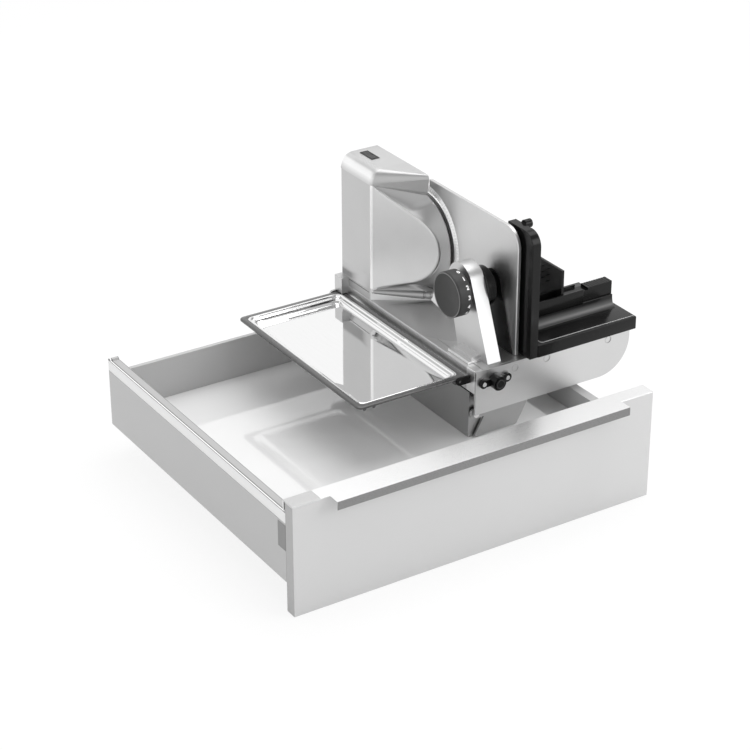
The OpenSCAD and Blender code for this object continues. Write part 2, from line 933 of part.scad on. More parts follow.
// End plates of the motor, joined by a back plate against the housing wall
module motor_bracket() {
    y1 = tower_y1 - shell_t - seat_gap;
    low = stator_z - end_plate_t;
    high = stator_z + stator_h;
    color("lightgray") seat()
        difference() {
            union() {
                box(motor_x - stator_r, motor_x + stator_r, motor_y - stator_r + end_gap, y1,
                    low, low + end_plate_t);
                box(motor_x - stator_r, motor_x + stator_r, motor_y - stator_r + end_gap, y1,
                    high, high + end_plate_t);
                box(motor_x - stator_r, motor_x + stator_r, y1 - end_plate_t, y1, low,
                    high + end_plate_t);
            }
            rod_z(low - cut, high + end_plate_t + cut, motor_x, motor_y, shaft_r + bore_gap);
        }
}

// Column that carries the stop plate and the dial

module column_outline() {
    c = [column_top_y, column_top_z];
    front = [column_front_y, deck_z + seat_gap];
    back = [column_back_y, deck_z + seat_gap];
    polygon([front, touch(front, c, column_top_r, 1), c, touch(back, c, column_top_r, -1), back]);
    translate(c) circle(column_top_r);
}

module column() {
    x1 = column_x + column_w;
    z0 = deck_z + seat_gap;
    color("silver") seat()
        difference() {
            union() {
                sheet_x(column_x, x1) column_outline();
                box(plinth_x, column_x, plinth_y0, plinth_y1, z0, z0 + plinth_h);
                box(plinth_x + plinth_step, column_x, plinth_y0 + plinth_h, plinth_y1 - plinth_h,
                    z0 + plinth_h, z0 + 2 * plinth_h);
            }
            rod_x(column_x - cut, x1 + cut, dial_y, dial_z, spindle_r + bore_gap);
            rod_x(column_x + column_wall, x1 + cut, dial_y, dial_z, bar_r + bore_gap);
            base_screw_rods(fix_screw_r + bore_gap, z0 - cut, deck_z + fix_screw_l / 2);
        }
}

// Black bearing cover on the back of the column
module column_cover() {
    x0 = column_x + column_w + seat_gap;
    color("black") seat()
        difference() {
            rod_x(x0, x0 + column_cover_t, dial_y, dial_z, slide_r);
            rod_x(x0 - cut, x0 + column_cover_t + cut, dial_y, dial_z, bar_r + bore_gap);
        }
}

module thickness_dial() {
    color("black") seat()
        difference() {
            rod_x(dial_x0, dial_x0 + dial_t, dial_y, dial_z, dial_r);
            rod_x(dial_x0 + column_wall, dial_x0 + dial_t + cut, dial_y, dial_z,
                spindle_r + bore_gap);
        }
}

module dial_spindle() {
    color("silver") seat()
        rod_x(dial_x0 + column_wall, column_x + column_w - seat_gap, dial_y, dial_z, spindle_r);
}

module stop_plate() {
    z0 = deck_z + seat_gap;
    color("silver") seat()
        sheet_x(stop_x, stop_x + stop_t)
            difference() {
                union() {
                    translate([stop_y0 + stop_r, z0]) square([stop_y1 - stop_y0 - stop_r, stop_h]);
                    translate([stop_y0, z0]) square([stop_r + cut, stop_h - stop_r]);
                    translate([stop_y0 + stop_r, z0 + stop_h - stop_r]) circle(stop_r);
                }
                translate([blade_y, blade_z]) circle(stop_cut_r);
                translate([blade_y - face_r - cut, z0 - cut])
                    square([face_r + stop_r, blade_z - z0]);
            }
}

// Black slide behind the stop plate, with the bar that runs in the column
module stop_plate_slide() {
    x0 = stop_x - slide_t;
    z0 = deck_z + seat_gap;
    color("black") seat()
        difference() {
            union() {
                rod_x(x0, stop_x - bore_gap, dial_y, dial_z, slide_disc_r);
                sheet_x(x0, stop_x - bore_gap)
                    polygon([[stop_y0 + slide_foot, z0], [dial_y + slide_leg_w / 2, z0],
                        [dial_y + slide_leg_w / 2, dial_z], [dial_y - slide_leg_w / 2, dial_z]]);
                rod_x(column_x + column_wall + stop_travel + slide_rest, stop_x - bore_gap, dial_y,
                    dial_z, bar_r);
            }
            rod_x(column_x, column_x + column_w + stop_travel, dial_y, dial_z,
                spindle_r + bore_gap);
        }
}

// Blade and drive

// Dished blade: a flat hub, a cone and a thin bevelled edge
module blade() {
    flat_share = 0.6;
    edge = skin_t / 4;
    color("lightgray") seat() translate([blade_x, blade_y, blade_z]) rotate([0, 90, 0])
        difference() {
            rotate_extrude($fn = 180)
                polygon([[0, 0], [hub_plate_r, 0], [flat_share * blade_r, blade_dish / 2],
                    [blade_r, blade_dish + blade_t - edge], [blade_r, blade_dish + blade_t],
                    [flat_share * blade_r, blade_dish / 2 + blade_t], [hub_plate_r, blade_t],
                    [0, blade_t]]);
            translate([0, 0, -cut]) cylinder(h = blade_t + 2 * cut, r = axle_r + bore_gap);
        }
}

module blade_axle() {
    color("silver") seat()
        rod_x(motor_x - gear_t / 2 - seat_gap, blade_x + blade_t, blade_y, blade_z, axle_r);
}

module blade_gear() {
    color("ivory") seat()
        difference() {
            rod_x(motor_x - gear_t / 2, motor_x + gear_t / 2, blade_y, blade_z, gear_r);
            rod_x(motor_x - gear_t, motor_x + gear_t, blade_y, blade_z, axle_r);
        }
}

module blade_screw() {
    x0 = blade_x + blade_t;
    color("silver") seat()
        difference() {
            rod_x(x0, x0 + screw_head_t, blade_y, blade_z, screw_head_r);
            box(x0 + screw_head_t / 2, x0 + screw_head_t + cut, blade_y - skin_t, blade_y + skin_t,
                blade_z - 2 * screw_head_r, blade_z + 2 * screw_head_r);
        }
}

module armature() {
    color("peru") seat()
        difference() {
            rod_z(stator_z + end_gap / 2, stator_z + stator_h - end_gap / 2, motor_x, motor_y,
                gap_r - seat_gap);
            rod_z(stator_z, stator_z + stator_h, motor_x, motor_y, shaft_r);
        }
}

module motor_shaft() {
    color("silver") seat() {
        rod_z(blade_z - worm_l, stator_z + stator_h + end_plate_t + end_gap + fan_t, motor_x,
            motor_y, shaft_r);
        rod_z(blade_z - worm_l / 2, blade_z + worm_l / 2, motor_x, motor_y, worm_r);
    }
}

module cooling_fan() {
    z0 = stator_z + stator_h + end_plate_t + end_gap;
    color("black") seat()
        difference() {
            union() {
                rod_z(z0, z0 + fan_t, motor_x, motor_y, fan_hub_r);
                rod_z(z0, z0 + skin_t, motor_x, motor_y, fan_r);
                for (i = [0:fan_blades - 1])
                    translate([motor_x, motor_y, z0]) rotate(i * 360 / fan_blades)
                        translate([fan_hub_r - skin_t, -skin_t / 2, skin_t / 2])
                        cube([fan_r - fan_hub_r, skin_t, fan_t - skin_t]);
            }
            rod_z(z0 - cut, z0 + fan_t + cut, motor_x, motor_y, shaft_r);
        }
}

// Carriage

module carriage_guide_rail() {
    z1 = deck_z - base_t;
    color("silver") seat()
        difference() {
            box(guide_x, guide_x + guide_w, base_y0, base_y0 + guide_l, z1 - guide_h, z1);
            box(guide_x + guide_lip, guide_x + guide_w - guide_lip, base_y0 - cut,
                base_y0 + guide_l + cut, z1 - guide_slot, z1 + cut);
            box(guide_x + guide_lip / 2, guide_x + guide_w - guide_lip / 2, base_y0 - cut,
                base_y0 + guide_l + cut, z1 - guide_slot, z1 - guide_slot / 2);
        }
    // Feet that carry the rail on the base frame
    color("silver") seat()
        for (y = [base_y0 + foot_w, base_y0 + guide_l - 2 * foot_w])
            box(base_x1 + bore_gap, guide_x, y, y + foot_w, z1 - guide_h, z1 - guide_slot);
}

module carriage_shoe() {
    z1 = deck_z - base_t;
    y0 = base_y0 + foot_w;
    color("black") seat() {
        box(guide_x + guide_lip + shoe_clear, guide_x + guide_w - guide_lip - shoe_clear, y0,
            y0 + shoe_l, z1 - guide_slot + shoe_clear, table_z1 - table_t);
        box(guide_x + guide_lip / 2 + shoe_clear, guide_x + guide_w - guide_lip / 2 - shoe_clear, y0,
            y0 + shoe_l, z1 - guide_slot + shoe_clear, z1 - guide_slot / 2 - shoe_clear);
    }
}

// Table, fence with its channel, and the low bed under the grip
module carriage_body() {
    x0 = fence_x0 + bore_gap;
    y1 = fence_y0 + 2 * fence_t + channel_w;
    bed_z = table_z1 + channel_h;
    color("dimgray") seat() {
        difference() {
            box(x0, carriage_x1, table_y0, table_y0 + table_d, table_z0, table_z1);
            box(x0 + table_t, carriage_x1 - table_t, table_y0 + table_t,
                table_y0 + table_d - table_t, table_z0 - cut, table_z1 - table_t);
        }
        box(x0, channel_x1, fence_y0, y1, table_z1, bed_z);
        box(x0, fence_x1, fence_y0, fence_y0 + fence_t, bed_z, table_z1 + fence_h);
        box(x0, fence_x1, y1 - fence_t, y1, bed_z, table_z1 + fence_h);
        box(x0, x0 + table_t, fence_y0, y1, bed_z, table_z1 + fence_h);
    }
}

// Upright plate that keeps the hand away from the blade
module guard_outline() {
    difference() {
        translate([guard_y0, table_z0]) square([guard_d, guard_h]);
        translate([guard_y0 - cut, table_z0 + guard_h - guard_r])
            difference() {
                square([guard_r + cut, guard_r + cut]);
                translate([guard_r + cut, 0]) circle(guard_r);
            }
    }
}

module hand_guard() {
    color("black") seat() {
        sheet_x(carriage_x0, fence_x0) guard_outline();
        rod_x(fence_x0, fence_x0 + knob_t, guard_y0 + guard_d - knob_back,
            table_z0 + guard_h - knob_drop, knob_r);
    }
}

// Remnant holder: grip, arm in the fence channel, and spiked plate

module holder_grip() {
    y0 = fence_y0 + fence_t + shoe_clear;
    y1 = y0 + channel_w - 2 * shoe_clear;
    z0 = table_z1 + channel_h + seat_gap;
    z1 = table_z1 + fence_h;
    ribs = 9;
    color("dimgray") seat() {
        difference() {
            box(grip_x0, grip_x0 + grip_l, y0, y1, z0, z1);
            for (i = [1:ribs])
                rod_y(y0 - cut, y1 + cut, grip_x0 + i * grip_l / (ribs + 1), z1 + skin_t / 2,
                    skin_t);
        }
        box(pusher_x + pusher_t, grip_x0, y0, y1, z0, z1 - arm_clear - fence_t);
    }
}

module holder_plate() {
    y0 = fence_y0 + 2 * fence_t + channel_w + shoe_clear;
    z0 = table_z1 + seat_gap;
    z1 = table_z1 + fence_h + pusher_h;
    bridge_z = table_z1 + fence_h + seat_gap;
    cols = 4;
    rows = 3;
    color("black") seat() {
        box(pusher_x, pusher_x + pusher_t, y0, y0 + pusher_d, z0, z1);
        box(pusher_x, pusher_x + pusher_t, fence_y0 + fence_t + shoe_clear, y0, bridge_z, z1);
        box(pusher_x, pusher_x + pusher_t, fence_y0 + fence_t + shoe_clear,
            fence_y0 + fence_t + channel_w - shoe_clear, table_z1 + channel_h + seat_gap, bridge_z);
        for (i = [1:cols])
            for (j = [1:rows])
                translate([pusher_x, y0 + i * pusher_d / (cols + 1), bridge_z
                    + j * pusher_h / (rows + 1)])
                    rotate([0, -90, 0]) cylinder(h = spike_l, r1 = spike_r, r2 = spike_r / 4);
    }
}

// Slice tray

module rounded_plate(x0, x1, y0, y1, r) {
    translate([x0 + r, y0]) square([x1 - x0 - 2 * r, y1 - y0]);
    translate([x0, y0 + r]) square([x1 - x0, y1 - y0 - 2 * r]);
    for (x = [x0 + r, x1 - r])
        for (y = [y0 + r, y1 - r])
            translate([x, y]) circle(r);
}

module tray_layer(inset, z0, z1) {
    translate([0, 0, z0]) linear_extrude(z1 - z0)
        rounded_plate(tray_x0 + inset, tray_x1 - inset, tray_y0 + inset, tray_y1 - inset,
            max(tray_r - inset / 2, pan_t));
}

module tray_frame() {
    color("black") seat() {
        difference() {
            tray_layer(0, tray_z1 - rim_t, tray_z1);
            tray_layer(tray_rim, tray_z1 - rim_t - cut, tray_z1 + cut);
        }
        for (y = [tray_y0, tray_y1 - tray_rim + slide_gap])
            box(tray_x1 - pin_block, tray_x1, y, y + tray_rim - slide_gap,
                tray_pin_z - post_lug_r, tray_z1 - rim_t / 2);
        rod_y(tray_y0 - tray_pin_l, tray_y0 + tray_rim / 2, tray_pin_x, tray_pin_z, tray_pin_r);
        rod_y(tray_y1 - tray_rim / 2, tray_y1 + tray_pin_l, tray_pin_x, tray_pin_z, tray_pin_r);
    }
}

module tray_pan() {
    in0 = tray_rim + bore_gap;
    z0 = tray_z0;
    z1 = tray_z1 + pan_lift;
    color("gainsboro") seat()
        difference() {
            union() {
                tray_layer(in0, z0, z1);
                tray_layer(in0 - pan_lip, tray_z1 + bore_gap, z1);
            }
            tray_layer(in0 + pan_t, z1 - pan_step_h, z1 + cut);
            tray_layer(in0 + pan_step, z0 + pan_t, z1);
        }
}

// Lugs at both ends of the rail that hold the tray's pins
module tray_posts() {
    color("gray") seat()
        difference() {
            union() {
                tray_lug(tray_y0 - post_lug_t - seat_gap * 2);
                tray_lug(tray_y1 + seat_gap * 2);
                box(rail_x - post_w, rail_x, tray_y1 + post_lug_t + post_past - post_d,
                    tray_y1 + post_lug_t + post_past, tray_z1 + post_clear,
                    tray_z1 + post_clear + post_h);
            }
            rod_y(tray_y0 - rail_w, tray_y1 + rail_w, tray_pin_x, tray_pin_z, tray_pin_r + bore_gap);
        }
}

module tray_lug(y) {
    rod_y(y, y + post_lug_t, tray_pin_x, tray_pin_z, post_lug_r);
    box(tray_pin_x, rail_x, y, y + post_lug_t, tray_pin_z - post_lug_r, tray_pin_z + post_lug_r);
}

// Folding lock on the front plate

module lock_flange() {
    color("black") seat()
        difference() {
            union() {
                rod_y(unit_y - boss_out_t, unit_y, lock_x, lock_z, boss_out_r);
                for (side = [-1, 1])
                    rod_y(unit_y - ear_t, unit_y, lock_x + side * lock_span, lock_z, ear_r);
                box(lock_x - lock_span, lock_x + lock_span, unit_y - ear_t, unit_y,
                    lock_z - ear_r + skin_t, lock_z + ear_r - skin_t);
            }
            rod_y(unit_y - boss_out_t - cut, unit_y + cut, lock_x, lock_z, button_r + bore_gap);
            for (side = [-1, 1])
                rod_y(unit_y - ear_t - cut, unit_y + cut, lock_x + side * lock_span, lock_z,
                    thread_r + bore_gap);
        }
}

module lock_screws() {
    color("white") seat()
        for (side = [-1, 1]) {
            rod_y(unit_y - ear_t - lock_screw_t, unit_y - ear_t, lock_x + side * lock_span, lock_z,
                lock_screw_r);
            rod_y(unit_y - ear_t, unit_y + plate_t, lock_x + side * lock_span, lock_z, thread_r);
        }
}

module lock_button() {
    y0 = unit_y - boss_out_t - button_out;
    color("black") seat() {
        rod_y(y0, y0 + button_l, lock_x, lock_z, button_r);
        rod_y(y0 + button_l, y0 + button_l + button_pin_l, lock_x, lock_z, button_pin_r);
    }
}

// Switch

module switch_bezel() {
    z1 = tower_z1 + seat_gap;
    ix = rocker_w / 2 + rocker_gap;
    color("black") seat()
        difference() {
            union() {
                translate([switch_x, switch_y, tower_z1]) linear_extrude(bezel_t / 2)
                    square([switch_w, switch_l], center = true);
                translate([switch_x, switch_y, tower_z1 - bezel_h]) linear_extrude(bezel_h)
                    square([switch_w - bezel_t - seat_gap, switch_l - bezel_t - seat_gap],
                        center = true);
            }
            translate([switch_x, switch_y, tower_z1 - bezel_h + bezel_t]) linear_extrude(2 * bezel_h)
                square([rocker_w + rocker_gap, rocker_l + 2 * rocker_gap], center = true);
            rod_x(switch_x - switch_w, switch_x + switch_w, switch_y, rocker_z(), rocker_pin_r
                + bore_gap);
        }
}

function rocker_z() = tower_z1 - rocker_h / 2;

module rocker_switch() {
    x0 = switch_x - rocker_w / 2;
    color("black") seat() {
        sheet_x(x0, x0 + rocker_w)
            difference() {
                translate([switch_y - rocker_l / 2, tower_z1 - rocker_h / 2])
                    square([rocker_l, rocker_h / 2 + bezel_t / 2]);
                translate([switch_y, tower_z1 + rocker_l * 2 + bezel_t / 4])
                    circle(rocker_l * 2, $fn = 180);
            }
        rod_x(x0 - rocker_pin_r, x0 + rocker_w + rocker_pin_r, switch_y, rocker_z(), rocker_pin_r);
    }
}

module cable_gland() {
    y = rail_y1 - foot_w / 2;
    z = base_z0 + gland_r * 2;
    color("black") seat()
        difference() {
            rod_x(base_x1, base_x1 + gland_l, y, z, gland_r);
            rod_x(base_x1 - cut, base_x1 + gland_l + cut, y, z, gland_bore_r);
        }
}

cabinet_runner_left();
cabinet_runner_right();
middle_runner_left();
middle_runner_right();
drawer_runner_left();
drawer_runner_right();
front_panel();
handle_strip();
left_side();
right_side();
drawer_floor();
back_wall();
front_brackets();
front_fixing_screws();
pedestal();
pedestal_screws();
hinge_pin();
base_frame();
left_rail();
front_plate();
fold_arms();
motor_housing();
housing_rim();
housing_cover();
column();
column_cover();
motor_stator();
motor_bracket();
blade_bearing();
lock_flange();
lock_screws();
switch_bezel();
carriage_guide_rail();
tray_posts();
rail_strip();
base_screws();
cable_gland();
blade();
blade_gear();
blade_axle();
blade_screw();
armature();
motor_shaft();
cooling_fan();
stop_plate();
stop_plate_slide();
thickness_dial();
dial_spindle();
carriage_body();
hand_guard();
carriage_shoe();
holder_grip();
holder_plate();
tray_pan();
tray_frame();
lock_button();
rocker_switch();
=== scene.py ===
import json
from math import radians

import bmesh
import bpy
import numpy as np
from mathutils import Euler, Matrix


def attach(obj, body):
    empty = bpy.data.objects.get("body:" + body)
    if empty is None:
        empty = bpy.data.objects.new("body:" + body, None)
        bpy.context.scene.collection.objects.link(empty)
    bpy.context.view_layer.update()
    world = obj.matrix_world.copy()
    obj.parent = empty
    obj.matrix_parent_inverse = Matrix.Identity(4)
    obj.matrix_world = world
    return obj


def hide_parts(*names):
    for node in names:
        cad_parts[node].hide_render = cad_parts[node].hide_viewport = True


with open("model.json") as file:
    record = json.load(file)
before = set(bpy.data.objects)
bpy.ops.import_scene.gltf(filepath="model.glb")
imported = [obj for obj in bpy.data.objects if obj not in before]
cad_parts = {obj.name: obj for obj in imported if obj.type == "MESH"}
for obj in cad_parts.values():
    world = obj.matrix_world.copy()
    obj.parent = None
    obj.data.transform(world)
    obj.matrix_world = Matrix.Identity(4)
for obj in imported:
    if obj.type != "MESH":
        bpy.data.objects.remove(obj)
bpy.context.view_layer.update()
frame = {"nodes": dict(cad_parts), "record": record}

# ---------------------------------------------------------------- layout and sizes, millimetres
# Layout coordinates run from the lower left front corner of the drawer's panel.
SEAT = np.array([298.5, 275.0, 45.5])

# The deck's top, and the height at which the tower's walls change from their wider foot.
DECK_Z, STOREY_Z = 184.0, 200.0
TOWER = dict(x0=402.0, x1=467.0, front=447.0, back=530.0, top=397.0, round=21.0)
# The nose's lower right corner, both ends of the cone under the slanted face, and the cone's radius at
# shares of its length, with the neck and the ringed boss at its end.
NOSE_LOW, CONE_START, CONE_END = (466.6, 390.0, 363.4), (403.6, 445.0, 199.3), (466.0, 370.5, 207.0)
CONE_SHARE = [0, 0.01, 0.04, 0.10, 0.86, 0.87, 0.895, 0.905, 0.96, 0.99, 1.0]
CONE_R = [0.3, 1.6, 2.7, 3.2, 6.0, 4.6, 4.6, 5.6, 5.6, 4.4, 0.4]
# The slanted face: its way to the right per millimetre forwards, the heights at which its tangents leave
# the tower's corner, its radius about the axle, the y of its left edge and the points of its outline.
FACE_SLOPE = 60.0 / 93.0
FACE_TOP, FACE_LOW, FACE_R, FACE_LEFT = 374.0, 203.0, 60.0, TOWER["front"] - 3.2
TANGENT_POINTS, ARC_POINTS, LEFT_POINTS = 40, 56, 30
# The power that makes the flare and the skirt hollow in section.
HOLLOW = 1.7
# The blade's axle, and the rim round it: its radius, the x of its flat end and its bore.
AXLE_Y, AXLE_Z = 412.0, 282.0
RIM_R, RIM_X, RIM_BORE = 77.0, 474.0, 52.05
DIAL_Y, DIAL_Z, DIAL_R, DIAL_X0, DIAL_X1 = 235.0, 279.0, 34.5, 398.5, 420.0
# The dial's figures: their middle in x, angles round the dial, text size, added weight and height above the band.
NUMBER_X, NUMBER_ANGLES = 415.0, (82.0, 57.0, 33.5, 8.5, -15.5, -39.0)
NUMBER_SIZE, NUMBER_WEIGHT, NUMBER_LIFT = 8.8, 0.36, 0.30
TRAY = dict(x0=214.0, x1=399.0, y0=180.0, y1=525.0, pin_x=384.0, pin_z=168.0)
TABLE = dict(x0=504.05, x1=684.0, y0=152.0, y1=295.0, z0=184.3, z1=204.3)
FENCE = dict(y0=201.0, y1=224.8, x1=621.0, bed_x1=676.0, bed=223.5, top=244.3, wall=2.7)
# The front plate's face and its stamped marks, and the axis of the folding lock.
PLATE_Y, MARK_Z, MARKS_X = 162.0, 173.2, (470.8, 527.6, 640.4)
LOCK_X, LOCK_Z = 434.0, 164.0
# The left rail's front end in the solids, and the y to which its copy is lengthened.
RAIL_END, RAIL_LONGER = 171.6, 166.0
# The top of the left side's lip, and how far the floor is below the part's origin.
LIP_TOP, FLOOR_DROP = 153.5, 45.5
# Degrees between faces above which a node's edge is sharp and gets a bevel.
EDGE_ANGLE = 30


def seated(points):
    """Layout millimetres to the part's own metres."""
    return (np.asarray(points, float) - SEAT) / 1000.0


# ---------------------------------------------------------------- outlines and nets

def unit(v):
    """Vectors along the last axis, scaled to length one."""
    return v / np.maximum(np.linalg.norm(v, axis=-1, keepdims=True), 1e-12)


def rounded(corners, radii, steps):
    """A loop round corners: at each, an arc of its radius that touches both sides, so its centre lies
    on the bisector at radius / sin(half angle) and it starts radius / tan(half angle) before the corner."""
    c = np.asarray(corners, float)
    r = np.broadcast_to(np.asarray(radii, float), len(c))[:, None]
    to_last, to_next = unit(np.roll(c, 1, 0) - c), unit(np.roll(c, -1, 0) - c)
    half = np.arccos(np.clip((to_last * to_next).sum(1, keepdims=True), -1, 1)) / 2
    centre = c + unit(to_last + to_next) * r / np.sin(half)
    start, end = c + to_last * r / np.tan(half), c + to_next * r / np.tan(half)
    a0 = np.arctan2(*(start - centre).T[::-1])
    a1 = np.arctan2(*(end - centre).T[::-1])
    turn = (a1 - a0 + np.pi) % (2 * np.pi) - np.pi
    a = a0[:, None] + turn[:, None] * np.linspace(0, 1, steps + 1)
    arc = centre[:, None] + r[:, None] * np.stack([np.cos(a), np.sin(a)], -1)
    return arc.reshape(-1, 2)


def rectangle(x0, x1, y0, y1, radius, steps):
    """A rectangle with rounded corners, counter-clockwise."""
    return rounded([(x0, y0), (x1, y0), (x1, y1), (x0, y1)], radius, steps)


def drawn_in(loop, distance):
    """A counter-clockwise loop moved inwards along the normals of its chords."""
    chord = np.roll(loop, -1, 0) - np.roll(loop, 1, 0)
    return loop - unit(np.stack([chord[:, 1], -chord[:, 0]], 1)) * distance


def placed(loop, axis, at):
    """A flat loop in space: axis x takes it as (y, z), y as (x, z) and z as (x, y)."""
    return np.insert(loop, "xyz".index(axis), at, axis=1)


def net(rows, ends=True):
    """Points and faces of a net of rows: point j of row i joins its neighbours in both directions, and each
    row's last point joins its first. ends closes the first and the last row."""
    rows = np.asarray(rows, float)
    m, n = rows.shape[:2]
    i, j = np.meshgrid(np.arange(m - 1), np.arange(n), indexing="ij")
    k = (j + 1) % n
    faces = np.stack([i * n + j, i * n + k, (i + 1) * n + k, (i + 1) * n + j], -1).reshape(-1, 4).tolist()
    if ends:
        faces += [list(range(n)), list(range((m - 1) * n, m * n))]
    return rows.reshape(-1, 3), faces


def ring_net(sections):
    """A net closed in both directions, such as a section carried round a frame."""
    sections = np.asarray(sections, float)
    return net(np.concatenate([sections, sections[:1]]), ends=False)


def eased_rows(loop, axis, low, high, ease, steps):
    """A loop carried along an axis, with quarter rounds of radius ease at both ends: at angle a it is
    drawn in by ease (1 - sin a), at ease (1 - cos a) from the end."""
    a = np.linspace(0, np.pi / 2, steps + 1)
    inset, rise = ease * (1 - np.sin(a)), ease * (1 - np.cos(a))
    return ([placed(drawn_in(loop, d), axis, low + h) for d, h in zip(inset, rise)]
            + [placed(drawn_in(loop, d), axis, high - h) for d, h in zip(inset[::-1], rise[::-1])])


def slab(loop, axis, low, high, ease, steps):
    """A plate of a loop's outline with eased edges, and one row more inside each flat face."""
    inner = drawn_in(loop, 2.5 * ease)
    return net([placed(inner, axis, low)] + eased_rows(loop, axis, low, high, ease, steps)
               + [placed(inner, axis, high)])


def turned(profile, axis, centre, points, ripple=None):
    """A profile of (radius, place along the axis) turned a full circle. ripple(a, r) adds to the radius."""
    profile = np.asarray(profile, float)
    a = np.linspace(0, 2 * np.pi, points, endpoint=False)
    r = profile[:, :1] + (0 if ripple is None else ripple(a[None, :], profile[:, :1]))
    u, v = centre[0] + r * np.cos(a), centre[1] + r * np.sin(a)
    flat = np.stack([u, v], -1)
    along = np.broadcast_to(profile[:, 1:], u.shape)
    return net(np.insert(flat, "xyz".index(axis), along, axis=2))


def tube(path, radii, points):
    """A round tube of changing radius along a path, with its ends closed: each ring stands square to
    the path, on two sideways vectors made from the path's direction and the upward one."""
    path = np.asarray(path, float)
    ahead = unit(np.gradient(path, axis=0))
    up = np.array([0.0, 0.0, 1.0])
    side = unit(np.cross(ahead, up))
    top = np.cross(side, ahead)
    a = np.linspace(0, 2 * np.pi, points, endpoint=False)[None, :, None]
    r = np.broadcast_to(np.asarray(radii, float), len(path))[:, None, None]
    return net(path[:, None] + r * (np.cos(a) * side[:, None] + np.sin(a) * top[:, None]))


# ---------------------------------------------------------------- pieces

def shaded(mesh, sharp):
    """Smooth shading, with edges above the angle kept sharp."""
    mesh.polygons.foreach_set("use_smooth", np.ones(len(mesh.polygons), bool))
    mesh.set_sharp_from_angle(angle=radians(sharp))


def vectors(items, key):
    """A vector of each of a mesh's items, as rows."""
    values = np.zeros(len(items) * 3)
    items.foreach_get(key, values)
    return values.reshape(-1, 3)


def stand(name, mesh, finish, body, nodes):
    """Puts a mesh in the scene as a piece that rides on a body and stands for its nodes."""
    piece = bpy.data.objects.new(name, mesh)
    bpy.context.scene.collection.objects.link(piece)
    mesh.materials.clear()
    mesh.materials.append(finish)
    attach(piece, body)
    if nodes:
        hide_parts(*nodes)
    return piece


def form(name, patches, finish, body, nodes=(), sharp=32):
    """A piece made of patches in layout millimetres, all closed but for the dial's flat figures. Doubles
    are merged, then faces turned out."""
    points, faces, start = [], [], 0
    for p, f in patches:
        points.append(p)
        faces += [[k + start for k in face] for face in f]
        start += len(p)
    mesh = bpy.data.meshes.new(name)
    mesh.from_pydata(seated(np.concatenate(points)).tolist(), [], faces)
    work = bmesh.new()
    work.from_mesh(mesh)
    bmesh.ops.remove_doubles(work, verts=work.verts, dist=2e-6)
    bmesh.ops.dissolve_degenerate(work, edges=work.edges, dist=1e-7)
    bmesh.ops.recalc_face_normals(work, faces=work.faces)
    work.to_mesh(mesh)
    work.free()
    shaded(mesh, sharp)
    return stand(name, mesh, finish, body, nodes)


BODY_OF = {n: b for b, ns in frame["record"]["behaviour"]["bodies"].items() for n in ns}
SLOT_OF = {s["node"]: s["material_slot"] for s in frame["record"]["subparts"]}


def dressed(node, finish, width, steps):
    """A merged copy of a node, which then stands for it, with its edges rounded by a bevel of that width
    in millimetres."""
    mesh = frame["nodes"][node].data.copy()
    mesh.name = node + "_eased"
    work = bmesh.new()
    work.from_mesh(mesh)
    bmesh.ops.remove_doubles(work, verts=work.verts, dist=3e-6)
    bmesh.ops.dissolve_limit(work, angle_limit=radians(0.7), verts=work.verts, edges=work.edges)
    work.to_mesh(mesh)
    work.free()
    for name in [a.name for a in mesh.attributes if a.name.startswith(("custom_normal", "sharp"))]:
        mesh.attributes.remove(mesh.attributes[name])
    shaded(mesh, EDGE_ANGLE)
    piece = stand(node + "_eased", mesh, finish, BODY_OF[node], [node])
    bevel = piece.modifiers.new("eased_edges", "BEVEL")
    bevel.width = width / 1000.0
    bevel.segments = steps
    bevel.limit_method = "ANGLE"
    bevel.angle_limit = radians(EDGE_ANGLE)
    bevel.harden_normals = True
    return piece


# ---------------------------------------------------------------- finishes

def rgba(colour):
    """A grey level or a colour as the value of a colour socket."""
    return (*((colour,) * 3 if np.isscalar(colour) else colour), 1.0)


def add(tree, kind, *inputs, **settings):
    """A new node with these settings. An input is a socket and its value, or the output that feeds it."""
    new = tree.nodes.new(kind)
    for key, value in settings.items():
        setattr(new, key, value)
    for socket, value in inputs:
        if isinstance(value, bpy.types.NodeSocket):
            tree.links.new(value, new.inputs[socket])
        else:
            new.inputs[socket].default_value = value
    return new


def maths(tree, operation, first, second):
    """A maths node on an output and another one or a number."""
    return add(tree, "ShaderNodeMath", (0, first), (1, second), operation=operation).outputs[0]


